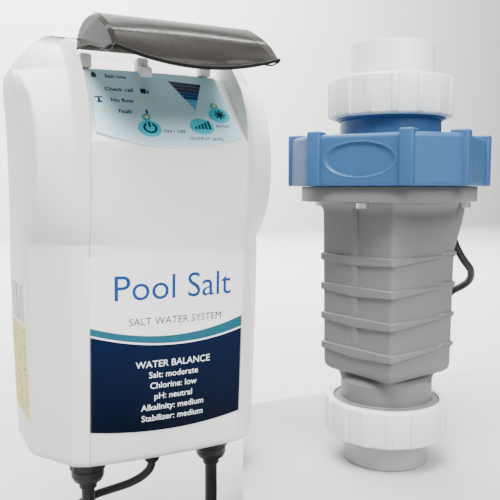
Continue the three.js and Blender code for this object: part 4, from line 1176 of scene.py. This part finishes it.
# %% [markdown]
# The cell is drawn in rings about its own axis. At each height the outline is a distance
# from the axis for every direction. A polygon's distance is the soft minimum over its
# sides: R = (sum of (cos(a - n) / d)^p)^(-1/p), with d the distance of the side that
# faces n. A smaller p gives rounder corners. Bands, ribs and recesses are added to R.

# %% Rings about the cell's axis
CELL_TURN = math.radians(10.8)
CAP_TURN = 22.5
theta = np.linspace(0, 360, 720, endpoint=False)


def polygon(sides, p):
    """Distance from the axis in every direction, for (facing angle, distance) sides."""
    total = 0
    for facing, distance in sides:
        total = total + np.maximum(np.cos(np.radians(theta - facing)), 0)**p / distance**p
    return total**(-1 / p)


def square(half, p=26):
    """A square's outline; a lower p rounds its corners more."""
    return polygon([(90 * k, half) for k in range(4)], p)


def octagon(flat, diagonal, p):
    """Eight sides, four at one distance and four between them at another."""
    return polygon([(CAP_TURN + 90 * k, flat) for k in range(4)]
                   + [(CAP_TURN + 45 + 90 * k, diagonal) for k in range(4)], p)


def circle(radius):
    """The same distance in every direction."""
    return np.full(len(theta), float(radius))


def rings(rows):
    """Closed loop of (height, distance) rows turned into a mesh about the cell's axis."""
    a = np.radians(theta)
    height = np.array([np.broadcast_to(z, theta.shape) for z, r in rows])
    reach = np.array([np.broadcast_to(r, theta.shape) for z, r in rows])
    return outward(grid(np.stack([reach * np.cos(a), reach * np.sin(a), height], axis=2),
                        close_rows=True))


def on_cell(mesh):
    """A mesh drawn in the cell's own frame, put where the cell stands."""
    return moved(mesh, turn_z(CELL_TURN), (*CELL_AT[:2], 0))


def away_from(angle):
    """Signed angle of every direction from the given one, from -180 to 180 degrees."""
    return (theta - angle + 180) % 360 - 180


# %% [markdown]
# The body is a square tube that tapers a little. Four bands run round it, taller on the
# corner that faces the wall box and thin at the flow switch, where they step up. A rib
# runs down the middle of two faces. A hollow curve joins the wall to the flange.

# %% Cell body
BODY_TOP_HALF, BODY_LOW_HALF = 39.4, 38.0
BODY_LOW, FLANGE_LOW = -110.0, 33.5
band_height = np.interp(theta, [0, 100, 135, 180, 225, 255, 299, 300, 316, 330, 360],
                        [7, 7, 6.4, 8.6, 6.6, 4.8, 2.8, 3.5, 3.5, 7, 7])
band_proud = np.interp(theta, [0, 135, 225, 255, 297, 300, 316, 330, 360],
                       [2.5, 2.5, 2.5, 2.2, 1.3, 2.2, 2.2, 2.5, 2.5])
band_lift = np.interp(theta, [297, 300, 314, 318], [0, 2.5, 2.5, 0])


def wall_at(z, inset=0.0):
    """The plain square wall at a height."""
    half = BODY_LOW_HALF + (BODY_TOP_HALF - BODY_LOW_HALF) * (np.mean(z) - BODY_LOW) / 145.0
    return square(half - inset)


def rib_at(z):
    """Extra distance for the ribs down the middle of the faces at 90 and 180 degrees."""
    total = 0
    for facing in (90, 180):
        turn = away_from(facing)
        across = np.abs(np.sin(np.radians(turn))) * BODY_TOP_HALF + 90 * (np.abs(turn) > 60)
        total = total + 1.7 * np.clip((3.6 - across) / 0.8, 0, 1)
    return total * (np.mean(z) > -70)


body_rows = [(-152, circle(43.6)), (-132.4, circle(43.6)), (-131.9, circle(43.2)),
             (-131.6, circle(38.6)), (-131, circle(38)), (-116, circle(38))]
for up, inset in [(0.05, 8.6), (0.3, 6.0), (1.1, 3.8), (2.4, 2.2), (4, 1.0), (6, 0.3), (8, 0.0)]:
    body_rows.append((BODY_LOW + up, wall_at(BODY_LOW, inset)))
for k in (3, 2, 1, 0):
    high = -9.5 - 25.2 * k + band_lift
    low = high - band_height
    for z, share in ((low - 1.0, 0.0), (low, 0.06), (low + 0.35, 0.72), (low + 0.9, 1.0),
                     (high - 0.9, 1.0), (high - 0.35, 0.72), (high, 0.06), (high + 1.0, 0.0)):
        wall = wall_at(z)
        body_rows.append((z, np.maximum(wall + band_proud * share, wall + rib_at(z))))
body_rows += [(z, wall_at(z) + rib_at(z)) for z in (-4.5, 2, 8, 14, 20, 22.5)]
FILLET_TALL, FILLET_WIDE = 11.0, 9.0      # the hollow curve under the flange
for step in np.linspace(0.12, 1, 9):
    angle = step * math.pi / 2
    z = FLANGE_LOW - FILLET_TALL * (1 - math.sin(angle))
    curve = FILLET_WIDE * (1 - math.cos(angle))
    body_rows.append((z, wall_at(22) + np.maximum(curve, rib_at(20) * (1 - step))))


def flange(inset):
    """The flange's outline, drawn in by an inset."""
    return octagon(67 - inset, 72.5 - inset, 16)


body_rows += [(FLANGE_LOW + 0.02, flange(1.0)), (FLANGE_LOW + 0.3, flange(0.3)),
              (FLANGE_LOW + 1, flange(0)), (45.0, flange(0)), (45.5, flange(0.3)), (45.7, flange(0.9)),
              (45.7, square(35.4)), (-105, square(35.0)), (-105.2, circle(28)), (-152, circle(28))]
# the flow switch's boss: height, radius and place of each ring, cut flat inside the wall
BOSS = [(-12, 4.5, 35.0, -32.5), (-6, 6.4, 36.2, -31.8), (2, 8.4, 38.2, -30.6),
        (10, 10.2, 41, -29), (18, 11.8, 44, -27.2), (23.4, 12.5, 45.8, -26.1),
        (24.4, 12.9, 46, -26), (33.9, 12.9, 46, -26)]
boss_turn = np.linspace(0, 2 * np.pi, 40, endpoint=False)
boss_rows = [np.stack([np.maximum(x + r * np.cos(boss_turn), 36.6), y + r * np.sin(boss_turn),
                       np.full(40, z)], axis=1) for z, r, x, y in BOSS]
boss = outward(grid(np.array(boss_rows)))
piece("cell_body_skin", on_cell(merged(rings(body_rows), boss)), body_grey,
      replaces=["cell_body"], sharp=32)

# %% [markdown]
# The cap is a wide octagon with a rounded top edge. Two small bosses stand at the ends of
# each long side, and the side that faces forwards has a shallow oval field.

# %% Cap
def oval_field(z, facing=202.5, centre=65.5, half_wide=27.5, half_tall=13.0):
    """How deep the oval field is at a height: a step 1.2 mm deep with a soft wall."""
    t = np.tan(np.radians(np.clip(away_from(facing), -60, 60))) * 71
    reach = np.sqrt((t / half_wide)**2 + ((z - centre) / half_tall)**2)
    inside = np.clip((1.0 - reach) / 0.05, 0, 1) * (np.abs(away_from(facing)) < 60)
    rim = np.exp(-((reach - 1.035) / 0.028)**2) * (np.abs(away_from(facing)) < 60)
    return inside * inside * (3 - 2 * inside) * 1.3 - rim * 0.45


def cap(inset):
    """The cap's outline, drawn in by an inset."""
    return octagon(71 - inset, 79.55 - inset, 42)


CAP_EDGE = 3.6             # radius of the cap's top edge
cap_rows = [(46.0, cap(0.8)), (46.2, cap(0.25)), (46.8, cap(0))]
cap_rows += [(z, cap(0) - oval_field(z)) for z in np.arange(50, 81.1, 0.8)]
cap_rows += [(85 - CAP_EDGE * (1 - math.sin(t)), cap(CAP_EDGE * (1 - math.cos(t))))
             for t in np.linspace(0, np.pi / 2, 7)]
cap_rows += [(85.0, cap(8)), (85.0, circle(44)), (85.4, circle(42)), (86.5, circle(41.1)),
             (98.8, circle(41)), (99.4, circle(43.2)), (99.9, circle(43.6)),
             (119.6, circle(43.6)), (120, circle(43.1)), (120, circle(26)), (72, circle(26)), (72, circle(49.5)), (46.0, circle(49.5))]
cap_bosses = []
for k in range(4):
    for side in (-1, 1):
        block = pillow(rounded_box_outline(11, 14, 1.8), 46.2, 87.6, 1.6, 0.6)
        block = moved(block, None, (side * 36.3, -66.6, 0))
        cap_bosses.append(moved(block, turn_z(math.radians(CAP_TURN + 90 * k))))
# the cord's inlet: depth and radius of each ring about its own axis, 66 mm up
INLET = [(-64, 11.6), (-71.2, 11.4), (-72.0, 10.8), (-84.4, 10.4), (-85, 9.9), (-85, 4.2),
         (-64, 4.2)]
inlet_turn = np.linspace(0, 2 * np.pi, 44, endpoint=False)
inlet_rows = [np.stack([r * np.cos(inlet_turn), np.full(44, y), 66 + r * np.sin(inlet_turn)],
                       axis=1) for y, r in INLET]
inlet = outward(grid(np.array(inlet_rows), close_rows=True))
inlet = moved(inlet, turn_z(math.radians(CAP_TURN + 90)))
piece("cell_cap_skin", on_cell(merged(rings(cap_rows), *cap_bosses, inlet)), cap_blue,
      replaces=["cell_cap"], sharp=30)

# %% [markdown]
# A union nut is a wide ring with gripping ribs, chamfered at both ends. The tailpiece that
# it holds is a short sleeve with a socket for the glued pipe.

# %% Unions
def union_nut(low, high, lip_low, lip_high, ribs=16):
    """A ribbed nut: the ribs stand 1.6 mm proud and fade out at the chamfers."""
    def body(radius, share):
        return circle(radius) + 1.6 * share * tooth

    pitch = 360 / ribs
    offset = (theta + pitch / 2) % pitch - pitch / 2
    tooth = np.clip((3.3 - np.abs(offset)) / 0.7, 0, 1)
    tooth = tooth * tooth * (3 - 2 * tooth)
    rows = [(low, body(46.8, 0)), (low + 0.5, body(48.4, 0.4)), (low + 1.6, body(49.3, 0.9)),
            (low + 2.4, body(49.5, 1)), (high - 2.6, body(49.5, 1)), (high - 1.6, body(49.2, 0.9)),
            (high - 0.5, body(48.2, 0.4)), (high, body(46.6, 0))]
    if lip_high == high:
        inner = [(high, 35.6), (lip_low, 35.6), (lip_low, 44.4), (low, 44.4)]
    else:
        inner = [(high, 44.4), (lip_high, 44.4), (lip_high, 35.6), (low, 35.6)]
    return rings(rows + inner)


def tail(seat, flange_end, end):
    """A sleeve: sealing flange, pipe wall and socket, with the rim rounded."""
    up = 1 if end > seat else -1
    rows = [(seat, 26), (seat, 43.4), (seat + 0.4 * up, 43.8), (flange_end, 43.8),
            (flange_end, 35.2), (flange_end + 1 * up, 35.0), (end - 1.2 * up, 35.0),
            (end - 0.4 * up, 34.7), (end, 34.0), (end, 31.2), (end - 0.4 * up, 30.6),
            (end - 1.2 * up, 30.3), (flange_end, 30.3), (flange_end - 1.5 * up, 26)]
    return rings(rows)


piece("top_union_nut_look", on_cell(union_nut(101, 133, 126.9, 133)), nut_white, "top_nut",
      ["top_union_nut"], 34)
piece("bottom_union_nut_look", on_cell(union_nut(-162, -131.5, -162, -158.7)), nut_white,
      "bottom_nut", ["bottom_union_nut"], 34)
piece("top_tail_look", on_cell(tail(120.6, 126.4, 160)), pipe_white, "top_pipe_end",
      ["top_tailpiece"], 34)
piece("bottom_tail_look", on_cell(tail(-152.6, -158.2, -185)), pale_grey, "bottom_pipe_end",
      ["bottom_tailpiece"], 34)
print("cell made")

# %% [markdown]
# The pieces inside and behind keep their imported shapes, and each gets a finish of its own
# kind: boards are green with fine traces, windings are copper, plates are coated titanium.

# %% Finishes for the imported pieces
def board_green():
    """Solder mask with a fine grid of traces worked out from two sets of steps."""
    s = Surface("circuit_board")
    x, y, z = s.axes()
    line = (x * 0.9).maths("FRACT") < 0.22
    cross = (z * 0.6).maths("FRACT") < 0.18
    lit = line.larger(cross) * (s.noise(60, 2) > 0.5)
    s.set("Base Color", s.mix(lit, rgba((0.008, 0.10, 0.035)), rgba((0.03, 0.22, 0.09))))
    s.set("Roughness", s.noise(90, 2) * 0.15 + 0.30)
    s.bump(lit, 0.00003)
    return s.material


board = board_green()
lamination = metal("core_steel", (0.34, 0.34, 0.35), 0.45, (1, 40, 1), 120)
CAD_FINISH = {
    steel: ["wall_bracket"] + [f"{part}_screw_{k}" for part in ("cover", "cap")
                               for k in (1, 2, 3, 4)],
    lamination: ["transformer_core"],
    copper: ["transformer_winding"],
    aluminium: ["heat_sink"],
    board: ["power_board", "display_board"],
    pale_grey: ["flow_paddle"],
    titanium: [f"electrode_plate_{k}" for k in (1, 2, 3, 4)]
    + ["terminal_post_1", "terminal_post_2"],
    black_plastic: ["cell_inlet", "electrode_carrier", "flow_switch", "power_plug", "cell_connector",
                    "sensor_connector", "flow_connector"],
    black_rubber: ["housing_gasket", "cap_seal", "top_union_ring", "bottom_union_ring"],
}
for finish, names in CAD_FINISH.items():
    for name in names:
        data = bpy.data.objects[name].data
        data.materials.clear()
        data.materials.append(finish)
print("packed pieces finished")

# %% [markdown]
# The floor is pale and plain. The box hangs on a wall and the cell stands in pipework, so
# the floor under the cords is low, and a pale ledge stands under the cell's foot.

# %% Floor and lights
def stage_slab(name, corners, top, thick):
    """A flat block under the given corners."""
    corners = np.array(corners, float)
    rows = [np.column_stack([corners, np.full(len(corners), z)]) for z in (top - thick, top)]
    points, faces = outward(grid(np.array(rows)))
    data = bpy.data.meshes.new(name)
    data.from_pydata((points * MM).tolist(), [], faces)
    data.materials.append(stage_white)
    slab = bpy.data.objects.new(name, data)
    bpy.context.scene.collection.objects.link(slab)
    return slab


stage_white = plastic("stage_white", (0.46, 0.46, 0.46), 0.85, 0.00001, 200, 0.01)
stage_slab("floor", [(-6000, -6000), (6000, -6000), (6000, 4000), (-6000, 4000)], FLOOR - 0.3, 10)
stage_slab("ledge", [(-183, -600), (900, -600), (900, 60), (146, 60)], LEDGE - 0.3, 12)
stage_slab("backdrop", [(-6000, 4000), (6000, 4000), (6000, 4010), (-6000, 4010)], 4500, 4800)


def area_light(name, at, towards, size, power):
    """A square soft light that faces a point."""
    data = bpy.data.lights.new(name, "AREA")
    data.size = size
    data.energy = power
    light = bpy.data.objects.new(name, data)
    bpy.context.scene.collection.objects.link(light)
    light.location = at
    aim = Vector(towards) - Vector(at)
    light.rotation_euler = aim.to_track_quat("-Z", "Y").to_euler()


area_light("key", (-0.55, -0.75, 1.75), (0.05, -0.08, 0.0), 0.8, 92)
area_light("fill", (0.3, -1.75, 1.3), (0.1, -0.1, 0.0), 1.2, 66)
area_light("top", (0.1, -0.1, 1.7), (0.1, -0.1, 0.0), 1.0, 36)
area_light("backdrop_light", (0.6, 1.6, 2.8), (1.2, 4.0, 0.9), 2.5, 1200)

world = bpy.data.worlds.new("studio")
world.use_nodes = True
world.node_tree.nodes["Background"].inputs["Color"].default_value = (1, 1, 1, 1)
world.node_tree.nodes["Background"].inputs["Strength"].default_value = 0.17
bpy.context.scene.world = world
